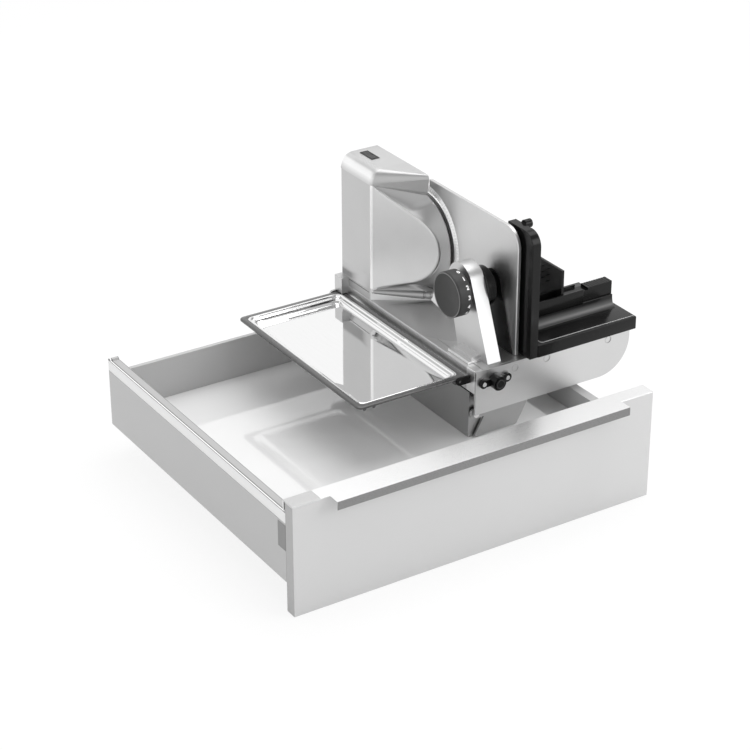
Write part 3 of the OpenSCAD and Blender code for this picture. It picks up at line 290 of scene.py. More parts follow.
class Finish:
    """A node material: a principled shader whose colour, roughness and relief come from noise on object
    coordinates, stretched along a brushing direction where there is one. paint is a list of zones, each
    the limits that where() takes and the colour inside them."""

    def __init__(self, name, colour, rough, metal, paint=(), **sockets):
        self.material = bpy.data.materials.new(name)
        self.material.use_nodes = True
        self.tree = self.material.node_tree
        self.shader = self.tree.nodes["Principled BSDF"]
        self.place = add(self.tree, "ShaderNodeTexCoord").outputs["Object"]
        self.colour = rgba(colour)
        sockets.update(Base_Color=self.colour, Roughness=rough, Metallic=metal)
        for key, value in sockets.items():
            self.shader.inputs[key.replace("_", " ")].default_value = value
        for limits, other in paint:
            self.mixed("MIX", self.where(*limits), rgba(other))

    def noise(self, scale, detail, seed=0.0, stretch=(1, 1, 1)):
        """Noise of features about 1/scale metres across, and longer on an axis with a stretch below 1."""
        mapping = add(self.tree, "ShaderNodeMapping", ("Vector", self.place),
                      ("Scale", [scale * s for s in stretch]), ("Location", (seed, seed * 0.7, seed * 1.3)))
        return add(self.tree, "ShaderNodeTexNoise", ("Vector", mapping.outputs["Vector"]), ("Scale", 1.0),
                   ("Detail", detail)).outputs["Fac"]

    def ranged(self, source, start, end, low=0.0, high=1.0):
        """Maps the range from start to end to the one from low to high, and stops at its ends."""
        return add(self.tree, "ShaderNodeMapRange", ("Value", source), ("From Min", start), ("From Max", end),
                   ("To Min", low), ("To Max", high)).outputs["Result"]

    def spread(self, source, low, high):
        """Maps the middle of a noise to the range from low to high."""
        return self.ranged(source, 0.3, 0.7, low, high)

    def mixed(self, kind, factor, other):
        """Mixes another colour over the one so far."""
        mix = add(self.tree, "ShaderNodeMix", ("Factor", factor), ("A", self.colour), ("B", other),
                  data_type="RGBA", blend_type=kind)
        self.colour = mix.outputs["Result"]
        self.tree.links.new(self.colour, self.shader.inputs["Base Color"])

    def tint(self, source, amount):
        """Multiplies the colour by 1 - amount to 1 + amount, following a noise."""
        value = self.spread(source, 1 - amount, 1 + amount)
        grey = add(self.tree, "ShaderNodeCombineColor", ("Red", value), ("Green", value), ("Blue", value))
        self.mixed("MULTIPLY", 1.0, grey.outputs["Color"])
        return self

    def vary_rough(self, source, amount):
        """Roughness goes up and down by amount, following a noise."""
        rough = self.shader.inputs["Roughness"]
        middle = rough.default_value
        self.tree.links.new(self.spread(source, middle - amount, middle + amount), rough)
        return self

    def raise_by(self, source, depth, strength):
        """Relief of that depth in millimetres, following a noise."""
        bump = add(self.tree, "ShaderNodeBump", ("Distance", depth / 1000.0), ("Strength", strength),
                   ("Height", source))
        self.tree.links.new(bump.outputs["Normal"], self.shader.inputs["Normal"])
        return self

    def where(self, *limits):
        """1 inside a box of space and 0 outside. A limit is an axis, its low and its high value in layout
        millimetres, and the width over which it fades."""
        split = add(self.tree, "ShaderNodeSeparateXYZ", (0, self.place))
        inside = None
        for axis, low, high, fade in limits:
            for bound, half in ((low, fade / 2000.0), (high, -fade / 2000.0)):
                if bound is not None:
                    at = (bound - SEAT["XYZ".index(axis)]) / 1000.0
                    past = self.ranged(split.outputs[axis], at - half, at + half)
                    inside = past if inside is None else maths(self.tree, "MULTIPLY", inside, past)
        return inside


def satin_metal(name, colour, rough, brushed=None, grain=1500.0, tint=0.025, paint=()):
    """Blasted or brushed metal: fine grain in relief and gloss, slow cloudiness in tone."""
    f = Finish(name, colour, rough, 1.0, paint)
    stretch = {"x": (0.03, 1, 1), "y": (1, 0.03, 1), "z": (1, 1, 0.03), None: (1, 1, 1)}[brushed]
    fine = f.noise(grain, 2.0, 0.0, stretch)
    slow = f.noise(14.0, 2.0, 3.0)
    f.tint(fine, tint).tint(slow, tint * 0.8).vary_rough(fine, 0.05).raise_by(fine, 0.012, 0.5)
    return f.material


def moulded_plastic(name, colour, rough, grain=2200.0, depth=0.02, coat=0.0, ior=1.5, paint=()):
    """Moulded plastic with a fine spark-eroded grain and slightly uneven gloss."""
    f = Finish(name, colour, rough, 0.0, paint, Coat_Weight=coat, Coat_Roughness=0.12, IOR=ior)
    fine = f.noise(grain, 3.0)
    slow = f.noise(40.0, 2.0, 5.0)
    f.tint(fine, 0.06).tint(slow, 0.05).vary_rough(slow, 0.04).raise_by(fine, depth, 0.6)
    return f.material


def lacquer(name, colour, rough, depth, coat, ior=1.5, paint=()):
    """Sprayed lacquer: faint orange peel under a clear coat, with a soft cloud in its tone."""
    f = Finish(name, colour, rough, 0.0, paint, Coat_Weight=coat, Coat_Roughness=0.08, IOR=ior)
    peel = f.noise(420.0, 1.0)
    cloud = f.noise(6.0, 2.0, 2.0)
    f.tint(cloud, 0.012).vary_rough(peel, 0.012).raise_by(peel, depth * 0.5, 0.2)
    return f.material


def polished_steel(name, colour, rough):
    """Polished sheet: a mirror with faint drawing lines along y and patches of softer gloss."""
    f = Finish(name, colour, rough, 1.0)
    lines = f.noise(900.0, 2.0, 0.0, (1, 0.02, 1))
    slow = f.noise(9.0, 3.0, 7.0)
    f.tint(lines, 0.012).vary_rough(slow, 0.02).raise_by(lines, 0.002, 0.25)
    return f.material


def ground_blade(name, colour, rough):
    """Ground steel: rings round the axle, from noise that reads only the distance to the axle."""
    f = Finish(name, colour, rough, 1.0)
    centre = seated([[0.0, AXLE_Y, AXLE_Z]])[0]
    mapping = add(f.tree, "ShaderNodeMapping", ("Vector", f.place), ("Location", (0.0, -centre[1], -centre[2])),
                  ("Scale", (0.0, 1.0, 1.0)))
    length = add(f.tree, "ShaderNodeVectorMath", (0, mapping.outputs["Vector"]), operation="LENGTH")
    ring = add(f.tree, "ShaderNodeTexNoise", ("W", length.outputs["Value"]), ("Scale", 1600.0), ("Detail", 2.0),
               noise_dimensions="1D")
    fine = ring.outputs["Fac"]
    f.tint(fine, 0.05).vary_rough(fine, 0.06).raise_by(fine, 0.004, 0.4)
    return f.material


# The tower's left wall darkened as painted shade, and the top face of the left side's lip as a limit.
LEFT_WALL_PAINTED_SHADE = ((("X", None, 402.6, 0.8), ("Z", None, 377.0, 8.0)), 0.56)
TOP = ("Z", LIP_TOP - 0.4, None, 0.2)
# Zones: painted shade on the left wall, and a painted highlight along the front left corner.
CAST = satin_metal("cast_housing_satin_painted_light", 0.72, 0.40,
                   paint=[LEFT_WALL_PAINTED_SHADE, ((("X", None, 404.4, 1.0), ("Y", None, 447.2, 1.0), ("Z", 204.0, None, 2.0)), 0.98)])
# Zones: painted shade on the left wall, the flat top, the nose's chamfer and its front, and a painted highlight on
# the rounding along the left.
NOSE = satin_metal("cast_tower_top_satin_painted_light", 0.72, 0.40,
                   paint=[LEFT_WALL_PAINTED_SHADE, ((("Z", 396.0, None, 0.8),), 0.62),
                          ((("Y", None, 447.0, 8.0), ("Z", 386.0, 396.9, 0.4)), 0.50),
                          ((("Y", None, 445.0, 3.0), ("Z", 359.0, 391.0, 3.0)), 0.50),
                          ((("X", 402.9, 410.0, 2.5), ("Y", 446.0, None, 6.0)), 0.98)])
# The flare and skirt: the cast housing's metal made darker as painted shade, and the skirt below z 197.5 lighter as
# painted light.
FLARE_PAINTED_SHADE_AND_LIGHT = satin_metal("cast_flare_painted_shade_and_light", 0.42, 0.42,
                    paint=[((("Z", None, 197.5, 1.0),), 0.58)])
POSTS = satin_metal("tray_posts_satin", 0.62, 0.42,
                    paint=[((("Y", None, 200.0, 2.0),), 0.02)])
# The column's metal, with the flared foot at its left made lighter as painted light.
COLUMN = satin_metal("column_satin_painted_light", 0.68, 0.36, tint=0.015, paint=[((("X", None, 408.3, 1.0),), 0.90)])
# The cone: the cast housing's metal made darker as painted shade, like the flare.
CONE = satin_metal("cast_cone_painted_shade", 0.42, 0.40)
BRACKET = satin_metal("bracket_cover_steel", 0.28, 0.40, None, 1200.0)
# The bead is black plastic; its grey colour is a painted highlight along it.
BEAD_PAINTED_HIGHLIGHT = moulded_plastic("table_bead_painted_highlight", 0.50, 0.15, 2000.0, 0.002)
# The left rail's metal, with a painted highlight at its front end.
RAIL = satin_metal("left_rail_satin_painted_highlight", 0.66, 0.36, None, 1600.0,
                   paint=[((("X", None, 403.0, 0.5), ("Y", None, 186.0, 2.0)), 0.96)])
SHEET = satin_metal("satin_aluminium_sheet", 0.66, 0.36, None, 1600.0)
STOP = satin_metal("stop_plate_satin", 0.68, 0.34, "z", 1300.0, 0.02)
GREY = satin_metal("grey_steel_sheet", 0.42, 0.38, "y", 1200.0)
ZINC = satin_metal("zinc_steel_runner", 0.62, 0.34, "y", 900.0, 0.05)
# The handle's aluminium, with painted shade on the front face of its lip and on the top of its left end.
PULL = satin_metal("bright_pull_aluminium_painted_shade", 0.88, 0.30, tint=0.01,
                   paint=[((("Y", None, -19.7, 0.4),), 0.26),
                          ((("X", None, 43.5, 0.6), ("Z", 170.0, None, 0.3)), 0.60)])
BRIGHT = satin_metal("bright_steel_small_parts", 0.78, 0.18)
BRONZE = satin_metal("bronze_bush", (0.60, 0.42, 0.20), 0.30, None, 1200.0)
IRON = satin_metal("laminated_iron", 0.25, 0.45, "x", 1800.0)
COPPER = satin_metal("wound_copper", (0.60, 0.33, 0.18), 0.35, "z", 1500.0, 0.08)
PAN = polished_steel("polished_tray_steel", 0.93, 0.04)
BLADE = ground_blade("ground_blade_steel", 0.92, 0.16)
# For the back's outer part: a rougher copy of the blade steel, made lighter as a painted reflection of the bright
# surroundings.
BLADE_BACK = ground_blade("ground_blade_back_painted_reflection", 0.99, 0.42)
SIDE = lacquer("grey_side_lacquer", 0.52, 0.36, 0.015, 0.25)
# Zones: a painted highlight on the lip's outer side, its top a little darker, then on the top a painted shade line, a
# painted highlight line in it, and painted shade on the inner edge.
LEFT_SIDE = lacquer("left_side_lacquer_painted_light", 0.52, 0.30, 0.006, 0.6,
                    paint=[((("X", None, 0.5, 0.3), ("Z", LIP_TOP - 17.0, None, 0.2)), 0.99), ((TOP,), 0.46),
                           ((TOP, ("X", None, 4.3, 0.3)), 0.12), ((TOP, ("X", 0.7, 2.6, 0.3)), 0.99),
                           ((TOP, ("X", 13.9, None, 0.2)), 0.20)])
# The front panel's lacquer, with its left end face darkened as painted shade.
FRONT = lacquer("pale_front_lacquer_painted_shade", 0.72, 0.30, 0.004, 0.3, paint=[((("X", None, 0.25, 0.2),), 0.46)])
BOARD = lacquer("gloss_floor_laminate", 0.88, 0.05, 0.003, 1.0, 1.7)
BLACK = moulded_plastic("black_carriage_plastic", 0.006, 0.20, 2000.0, 0.004, 0.0, 1.32)
# The carriage's black plastic, with a lighter band on the fence's concave foot as a painted highlight.
TABLE_BLACK_PAINTED_HIGHLIGHT = moulded_plastic("black_table_plastic_painted_highlight", 0.006, 0.20, 2000.0, 0.004, 0.0, 1.32,
                              paint=[((("Y", 192.5, 200.0, 4.0), ("Z", 206.5, 217.0, 5.0)), 0.16)])
DARK = moulded_plastic("matt_dial_plastic", 0.030, 0.50, 2600.0, 0.02)
# The dial's plastic, with a light ring at the face's raised edge as a painted highlight.
DIAL = moulded_plastic("matt_dial_plastic_with_painted_edge_highlight", 0.030, 0.50, 2600.0, 0.02,
                       paint=[((("X", None, 398.70, 0.1),), 0.22)])
RIM_BLACK = moulded_plastic("tray_rim_plastic", 0.05, 0.30, 2000.0, 0.01, 0.8)
WHITE = moulded_plastic("white_print", 0.98, 0.45, 2000.0, 0.002)
CREAM = moulded_plastic("cream_gear_plastic", (0.85, 0.82, 0.74), 0.45)

FINISH_OF = {
    "zinc_steel": ZINC, "side_steel": SIDE, "satin_aluminium": SHEET, "cast_aluminium": CAST,
    "grey_steel": GREY, "bright_steel": BRIGHT, "black_plastic": BLACK, "front_lacquer": FRONT,
    "handle_aluminium": PULL, "floor_panel": BOARD, "blade_steel": BLADE, "tray_steel": PAN,
    "bronze": BRONZE, "gear_plastic": CREAM, "motor_iron": IRON, "copper": COPPER,
}
for node, piece in frame["nodes"].items():
    piece.data.materials.clear()
    piece.data.materials.append(FINISH_OF[SLOT_OF[node]])


# ---------------------------------------------------------------- motor housing

def tower_top():
    """The tower above the slanted face, as sections from its back to the nose's right end. Behind the
    front corner a section is the last strip of the left wall, a quarter round and the flat top. In
    front of it every point runs straight to its own place at the right end, so the facets fan out."""
    t = TOWER
    r, x0, top, low = t["round"], t["x0"], t["top"], FACE_TOP
    a = np.linspace(0, np.pi / 2, 15)
    wall = np.column_stack([np.full(8, x0), np.linspace(low, top - r - 0.1, 8)])
    left = np.concatenate([wall, np.column_stack([x0 + r * (1 - np.cos(a)), top - r + r * np.sin(a)])])
    lower = [(390.5, 362.0), (389.4, 364.6), (388.3, 367.2), (387.5, 369.0)]
    main = [(387.2, 370.5), (385.8, 378.0), (384.5, 385.0), (383.5, 390.6)]
    chamfer = np.column_stack([383.4 + 4.6 * (1 - np.cos(a)), 391.0 + 6.0 * np.sin(a)])
    right = np.concatenate([lower, main, chamfer])
    rows = []
    for y, inset in ((t["back"], 1.2), (t["back"] - 0.35, 0.35), (t["back"] - 1.2, 0.0), (500.0, 0.0),
                     (470.0, 0.0), (455.0, 0.0), (t["front"], 0.0)):
        section = np.concatenate([left, [(t["x1"], top), (t["x1"], low)]])
        section = drawn_in(section[::-1], inset)[::-1]
        rows.append(np.column_stack([section[:, 0], np.full(len(section), y), section[:, 1]]))
    start = np.column_stack([left[:, 0], np.full(len(left), t["front"]), left[:, 1]])
    end = np.column_stack([np.full(len(right), t["x1"] - 0.8), right + np.array([0.7, 0.0])])
    for s in np.linspace(0, 1, 33)[1:]:
        line = start + (end - start) * s
        back = line[[-1, 0]] + np.array([0.0, 0.9 * s, 0.0])
        back[:, 0] = t["x1"]
        rows.append(np.concatenate([line, back]))
    return net(rows)


def tower_walls(low, high, turn, end_y):
    """A storey of the tower between two heights: its plan has a soft front left corner, then a wall
    towards turn, and from there one to the right side at end_y."""
    t = TOWER
    plan = [(t["x1"], t["back"]), (t["x0"], t["back"]), (t["x0"], t["front"]), turn, (t["x1"], end_y)]
    loop = rounded(plan, [1.2, 2.5, 6.0, 0.0, 0.5], 8)
    return net([placed(loop, "z", z) for z in np.linspace(low, high, 8)])


def face_loop():
    """The outline of the slanted face seen from the side, as points (y, z): the upper tangent from its
    left edge, a round arc about the axle, the lower tangent back and the left edge upwards."""
    centre = np.array([AXLE_Y, AXLE_Z])
    corners = []
    for z, turn in ((FACE_TOP, -1), (FACE_LOW, 1)):
        p = np.array([TOWER["front"], z])
        d = centre - p
        span = np.hypot(*d)
        a = np.arctan2(d[1], d[0]) + turn * np.arcsin(FACE_R / span)
        corners.append((p, p + np.sqrt(span ** 2 - FACE_R ** 2) * np.array([np.cos(a), np.sin(a)])))
    (top, top_touch), (low, low_touch) = corners
    a0 = np.arctan2(top_touch[1] - AXLE_Z, top_touch[0] - AXLE_Y)
    a1 = np.arctan2(low_touch[1] - AXLE_Z, low_touch[0] - AXLE_Y) + 2 * np.pi
    a = np.linspace(a0, a1, ARC_POINTS)
    arc = centre + FACE_R * np.stack([np.cos(a), np.sin(a)], 1)
    top_left = top + (top_touch - top) * (top[0] - FACE_LEFT) / (top[0] - top_touch[0])
    low_left = low + (low_touch - low) * (low[0] - FACE_LEFT) / (low[0] - low_touch[0])
    s = np.linspace(0, 1, TANGENT_POINTS)[:, None]
    height = np.linspace(low_left[1], top_left[1], LEFT_POINTS)[1:-1]
    edge = np.column_stack([np.full(len(height), FACE_LEFT), height])
    return np.concatenate([top_left + (top_touch - top_left) * s[:-1], arc,
                           low_touch + (low_left - low_touch) * s[1:], edge])


def face_targets():
    """For every point of the face's outline, where its flare ends: on the nose's lower edge beside the
    first part of the upper tangent, on the cone beside the last part of the lower one, and on the rim's
    circle between them. Also the angle about the axle, from the top, at which its ring points lie."""
    edge = face_loop()
    rel = edge - np.array([AXLE_Y, AXLE_Z])
    angle = np.degrees(np.arctan2(-rel[:, 0], rel[:, 1]))
    angle = np.where(angle < -40.0, angle + 360.0, angle)
    n, m, share = TANGENT_POINTS, ARC_POINTS, 0.70
    s = np.linspace(0, 1, n)
    upper, lower = slice(0, n - 1), slice(n - 1 + m, 2 * (n - 1) + m)
    # Beside the tangents the ring's angles run on from the arc's own, as far as the nose and the cone go.
    angle[upper] = np.interp(s[:-1], [0, share, 1], [-19.5, 19.0, angle[n - 1]])
    angle[lower] = np.interp(s[1:], [0, 1 - share, 1], [angle[n + m - 2], 152.0, 201.0])
    a = np.radians(angle)
    ring = np.stack([AXLE_Y - RIM_R * np.sin(a), AXLE_Z + RIM_R * np.cos(a)], 1)
    target = np.column_stack([np.full(len(edge), RIM_X - 1.5), ring])
    for part, at, start, stop in ((upper, s[:-1] / share, (402.25, 446.75, FACE_TOP - 0.04), NOSE_LOW),
                                  (lower, (1 - s[1:]) / share, (402.6, 446.2, 199.0), CONE_END)):
        start, stop = np.array(start), np.array(stop)
        on_line = start + (stop - start) * np.clip(at, 0, 1)[:, None]
        blend = np.clip((at - 1.0) / 0.12, 0, 1)[:, None]
        target[part] = np.where(at[:, None] <= 1, on_line, stop + (target[part] - stop) * blend)
    return edge, target, ring


def face_skin():
    """The slanted face, its soft edge and the flare out to the rim beside the blade. The face lies at
    x = x0 + slope (front - y). From its edge the wall starts along x, and moves sideways to its target
    with a power of its way, so it is hollow in section."""
    edge, target, ring = face_targets()
    chord = np.roll(edge, -1, 0) - np.roll(edge, 1, 0)
    out = unit(np.stack([chord[:, 1], -chord[:, 0]], 1))
    out *= np.sign(((edge - edge.mean(0)) * out).sum(1))[:, None]
    face_x = TOWER["x0"] + FACE_SLOPE * (TOWER["front"] - edge[:, 0])
    # The soft edge is 2.8 mm wide and grows to that over 14 mm from the left edge.
    soft = 2.8 * np.clip((FACE_LEFT - edge[:, 0]) / 14.0, 0, 1)
    p1 = np.column_stack([face_x, edge])
    inward = unit(np.column_stack([FACE_SLOPE * out[:, 0], -out]))
    ahead = np.array([1.0, 0.0, 0.0])
    rows = [p1 + inward * (soft + 1.0)[:, None]]
    for b in np.linspace(0, 1, 7):
        p0, p2 = p1 + inward * soft[:, None], p1 + ahead * soft[:, None]
        rows.append((1 - b) ** 2 * p0 + 2 * b * (1 - b) * p1 + b * b * p2)
    reach = np.maximum(target[:, 0] - face_x, 0.5)
    start = np.clip(soft / reach, 0, 0.5)
    for s in np.linspace(0, 1, 23)[1:]:
        way = (start + (1 - start) * s)[:, None]
        side = edge + (target[:, 1:] - edge) * way ** HOLLOW
        rows.append(np.column_stack([face_x + (target[:, 0] - face_x) * way[:, 0], side]))
    centre = np.array([AXLE_Y, AXLE_Z])
    spoke = unit(ring - centre)
    for r, x in ((RIM_R, RIM_X - 0.6), (RIM_R - 0.2, RIM_X - 0.2), (RIM_R - 0.6, RIM_X), (RIM_BORE + 0.3, RIM_X),
                 (RIM_BORE, RIM_X - 0.3), (RIM_BORE, RIM_X - 8.0)):
        rows.append(np.column_stack([np.full(len(edge), x), centre + r * spoke]))
    return net(rows)


def skirt_skin():
    """The hollow skirt that runs from under the slanted face out over the deck. Its top is a straight
    line, and its foot follows a rounded way on the deck, at the share s ^ 0.8 of its length. The height
    above the foot falls with the power HOLLOW of 1 - b, steep above and flat at the foot."""
    n = 34
    s = np.linspace(0, 1, n)
    top = np.column_stack([402.7 + 63.0 * s, 446.3 - 72.0 * s, 185.0 + 12.0 * s])
    foot_way = rounded([(403.3, 445.6), (403.3, 300.0), (431.0, 262.0), (465.6, 262.0)], [0.0, 26.0, 10.0, 0.0], 8)
    run = np.r_[0, np.cumsum(np.hypot(*np.diff(foot_way, axis=0).T))]
    at = run[-1] * s ** 0.8
    foot = np.column_stack([np.interp(at, run, foot_way[:, 0]), np.interp(at, run, foot_way[:, 1]),
                            np.full(n, DECK_Z + 0.02)])
    b = np.linspace(0, 1, 17)[None, :, None]
    slope = top[:, None] + (foot - top)[:, None] * np.concatenate([b, b, 1 - (1 - b) ** HOLLOW], axis=2)
    back = np.array([6.0, 14.0, 0.0])
    inner = np.stack([np.column_stack([foot[:, :2] * 0.15 + top[:, :2] * 0.85, foot[:, 2]]) + back * s[:, None] * 0.2,
                      top + np.array([0.3, 3.0, -0.5])], axis=1)
    return net(np.concatenate([slope, inner], axis=1))


def cone_radius(share):
    """Radius of the cone at shares of its length."""
    return np.interp(share, CONE_SHARE, CONE_R)


def cone_skin():
    """The thin cone under the slanted face, a tube along a line from the corner to its boss."""
    share = np.sort(CONE_SHARE + [0.3, 0.6])
    a, e = np.array(CONE_START), np.array(CONE_END)
    s = np.concatenate([np.linspace(share[i], share[i + 1], 4)[:-1] for i in range(len(share) - 1)] + [[1.0]])
    return tube(a + (e - a) * s[:, None], cone_radius(s), 28)


tower = form("motor_housing_skin",
             [tower_top(), tower_walls(STOREY_Z, FACE_TOP, (404.9, 442.5), 442.5),
              tower_walls(DECK_Z, STOREY_Z, (412.0, 435.6), 374.5), cone_skin()],
             CAST, "slicer", ["motor_housing"], sharp=38)
flare = form("housing_flare_skin", [face_skin(), skirt_skin()], FLARE_PAINTED_SHADE_AND_LIGHT, "slicer", ["housing_rim"],
             sharp=38)


def more_finishes(piece, *choices):
    """Gives further finishes to the faces that each choice picks by their centre in layout millimetres."""
    centre = vectors(piece.data.polygons, "center") * 1000.0 + SEAT
    index = np.zeros(len(centre), np.int32)
    for finish, chosen in choices:
        piece.data.materials.append(finish)
        index[chosen(*centre.T)] = len(piece.data.materials) - 1
    piece.data.polygons.foreach_set("material_index", index)


def on_nose(x, y, z):
    """The tower above the slanted face, with the nose."""
    return (z > FACE_TOP) | ((y < 441.5) & (z > 355.0))


def on_face(x, y, z):
    """The slanted face and its soft edge, without the flare that comes near its plane beside the rim."""
    behind = (x - TOWER["x0"]) - FACE_SLOPE * (TOWER["front"] - y)
    round_part = np.hypot(y - AXLE_Y, z - AXLE_Z) < FACE_R + 3.0
    return (abs(behind) < 1.0) & (z > FACE_LOW - 4.0) & ((y > 376.0) | round_part)


def on_cone(x, y, z):
    """The thin cone, without its first millimetres at the corner."""
    a, e = np.array(CONE_START), np.array(CONE_END)
    along = (e - a) / np.linalg.norm(e - a)
    spot = np.stack([x, y, z], -1) - a
    run = spot @ along
    share = run / np.linalg.norm(e - a)
    return (run > 3.0) & (np.linalg.norm(spot - run[:, None] * along, axis=1) < cone_radius(share) + 0.2)


more_finishes(tower, (NOSE, on_nose), (CONE, on_cone))
more_finishes(flare, (CAST, on_face))


def housing_seam():
    """The dark joint line between the housing's upper and lower halves: a thin bead sunk in the left
    wall, round the corner and along the cone's lower side."""
    back, front = np.array([401.95, 528.0, 195.5]), np.array([401.95, 450.5, 196.5])
    a, e = np.array(CONE_START), np.array(CONE_END)
    s = np.linspace(0.03, 0.86, 24)
    along = a + (e - a) * s[:, None] + cone_radius(s)[:, None] * np.array([-0.16, -0.26, -0.95])
    path = np.concatenate([back + (front - back) * np.linspace(0, 1, 10)[:, None], along])
    return tube(path, 0.36, 8)


form("housing_seam", [housing_seam()], DARK, "slicer")


# ---------------------------------------------------------------- blade

def blade_skin():
    """The dished blade, turned about its axle. Its back steps up at radius 76 and from there runs on a
    bevel to the cutting edge. Over its last 1.5 mm the radius waves inwards by 0.6 (1 - cos 108 a)."""
    profile = [(0.01, 476.0), (34, 476.0), (35.5, 476.05), (51, 479.4), (76.0, 480.6), (77.2, 482.6), (84.6, 486.3),
               (85, 486.6), (84.4, 486.6), (78, 486.6), (51, 482.1), (36, 477.8), (34, 477.6), (0.01, 477.6)]
    waves, depth, edge, fade = 108, 0.6, 85.0, 1.5
    return turned(profile, "x", (AXLE_Y, AXLE_Z), 8 * waves,
                  lambda a, r: depth * (np.cos(waves * a) - 1) * np.clip((r - edge + fade) / fade, 0, 1))


def on_blade_back(x, y, z):
    """The outer part of the blade's back, which shows beside the housing's rim."""
    return (np.hypot(y - AXLE_Y, z - AXLE_Z) > 51.5) & (x < 485.5)


ground = form("blade_ground", [blade_skin()], BLADE, "blade", ["blade"], sharp=30)
more_finishes(ground, (BLADE_BACK, on_blade_back))


# ---------------------------------------------------------------- thickness dial

def dial_skin():
    """The dial turned about its axis: a nearly flat face, a fine raised edge, a shadow groove right
    behind it and a plain band for the numbers."""
    x0, x1, r = DIAL_X0, DIAL_X1, DIAL_R
    return turned([(0.01, x0 + 0.35), (r - 2.6, x0 + 0.3), (r - 1.9, x0 + 0.05), (r - 0.9, x0), (r - 0.3, x0 + 0.4),
                   (r - 0.1, x0 + 1.2), (r - 0.5, x0 + 1.7), (r - 0.5, x0 + 2.1), (r, x0 + 2.5), (r, x1 - 0.9),
                   (r - 0.9, x1), (5.0, x1), (0.01, x1)],
                  "x", (DIAL_Y, DIAL_Z), 160)


form("thickness_dial_turned", [dial_skin()], DIAL, "dial", ["thickness_dial"], sharp=40)


def dial_numbers():
    """The figures 0 to 5 as meshes laid round the dial's band, a little above it: the text's x runs
    along the axis, and its y turns round it."""
    patches = []
    for figure, angle in enumerate(NUMBER_ANGLES):
        curve = bpy.data.curves.new("figure", "FONT")
        curve.body = str(figure)
        curve.size = NUMBER_SIZE
        curve.align_x, curve.align_y = "CENTER", "CENTER"
        curve.resolution_u = 3
        curve.offset = NUMBER_WEIGHT
        holder = bpy.data.objects.new("figure", curve)
        bpy.context.scene.collection.objects.link(holder)
        bpy.context.view_layer.update()
        flat = bpy.data.meshes.new_from_object(holder.evaluated_get(bpy.context.evaluated_depsgraph_get()))
        co = vectors(flat.vertices, "co")
        faces = [list(p.vertices) for p in flat.polygons]
        bpy.data.objects.remove(holder)
        bpy.data.curves.remove(curve)
        bpy.data.meshes.remove(flat)
        a = radians(angle) + co[:, 1] / DIAL_R
        r = DIAL_R + NUMBER_LIFT
        patches.append((np.column_stack([NUMBER_X + co[:, 0], DIAL_Y - r * np.cos(a), DIAL_Z + r * np.sin(a)]),
                        faces))
    return patches


form("dial_numbers", dial_numbers(), WHITE, "dial")


# ---------------------------------------------------------------- slice tray

def tray_rows(stations, corner):
    """Rounded rectangles of the tray, drawn in and at the heights that stations give."""
    t = TRAY
    rows = []
    for inset, z in stations:
        loop = rectangle(t["x0"] + inset, t["x1"] - inset, t["y0"] + inset, t["y1"] - inset,
                         max(corner - 0.35 * inset, 1.5), 9)
        rows.append(placed(loop, "z", z))
    return rows


def pan_skin():
    """The stepped pan: from its base up the outside, over the rolled lip on the rim, down to a narrow
    shelf and down again to a flat bottom, all as soft curves."""
    rise = [(30, 159.6), (21.6, 159.7), (20.0, 160.2), (18.9, 161.4), (16.6, 167.4), (15.4, 168.1), (11.2, 168.3),
            (10.4, 168.8), (10.1, 169.6), (10.1, 171.6), (9.8, 172.06), (8.7, 172.06),
            (8.58, 172.25), (8.8, 172.48), (10.6, 172.5), (11.4, 172.2), (11.9, 170.6), (12.5, 169.6), (13.6, 169.2),
            (15.4, 169.15), (16.3, 168.8), (16.9, 168.0), (17.8, 163.6), (18.6, 162.0), (20.0, 161.2), (22.4, 160.9),
            (30.0, 160.8)]
    return net(tray_rows(rise, 13.0))


def frame_skin():
    """The flat black rim, a thin section carried round the tray, rounded on its outer edge."""
    section = [(0.0, 169.4), (0.0, 170.9), (0.4, 171.6), (1.3, 172.0), (9.0, 172.0), (9.85, 171.7), (9.9, 168.8),
               (9.3, 168.5), (0.8, 168.5), (0.2, 168.8)]
    return ring_net(tray_rows(section, 8.5))


def tray_ends():
    """The two thick corners beside the rail, which carry the hinge pins."""
    return [slab(rectangle(378.2, 398.9, y0, y1, 1.6, 5), "z", 162.05, 170.4, 0.8, 3)
            for y0, y1 in ((180.1, 189.7), (515.3, 524.9))]


def tray_teeth():
    """Two small stops under the tray's front left corner, short wedges that lean outwards."""
    patches = []
    y = 184.0
    for x in (228.0, 243.5):
        loop = rectangle(x - 2.4, x + 2.4, y - 2.0, y + 2.0, 0.9, 3)
        tip = rectangle(x - 3.6, x - 0.2, y - 1.8, y + 1.0, 0.7, 3)
        patches.append(net([placed(tip, "z", 164.6), placed(loop, "z", 168.9)]))
    return patches


def tray_pins():
    """The two hinge pins at the tray's inner corners."""
    at = (TRAY["pin_x"], TRAY["pin_z"])
    return [turned([(0.01, a), (1.7, a), (2.0, a + 0.3), (2.0, b - 0.3), (1.7, b), (0.01, b)], "y", at, 32)
            for a, b in ((176.4, 183.0), (522.0, 528.6))]


form("tray_pan_drawn", [pan_skin()], PAN, "tray", ["tray_pan"], sharp=50)
form("tray_rim_moulded", [frame_skin()] + tray_ends() + tray_teeth() + tray_pins(), RIM_BLACK, "tray",
     ["tray_frame"], sharp=45)


# ---------------------------------------------------------------- carriage

def along_x(section, x0, x1, ease):
    """A section of (y, z) points carried along x, with both ends drawn in by a small round."""
    return net(eased_rows(section, "x", x0, x1, ease, 3))


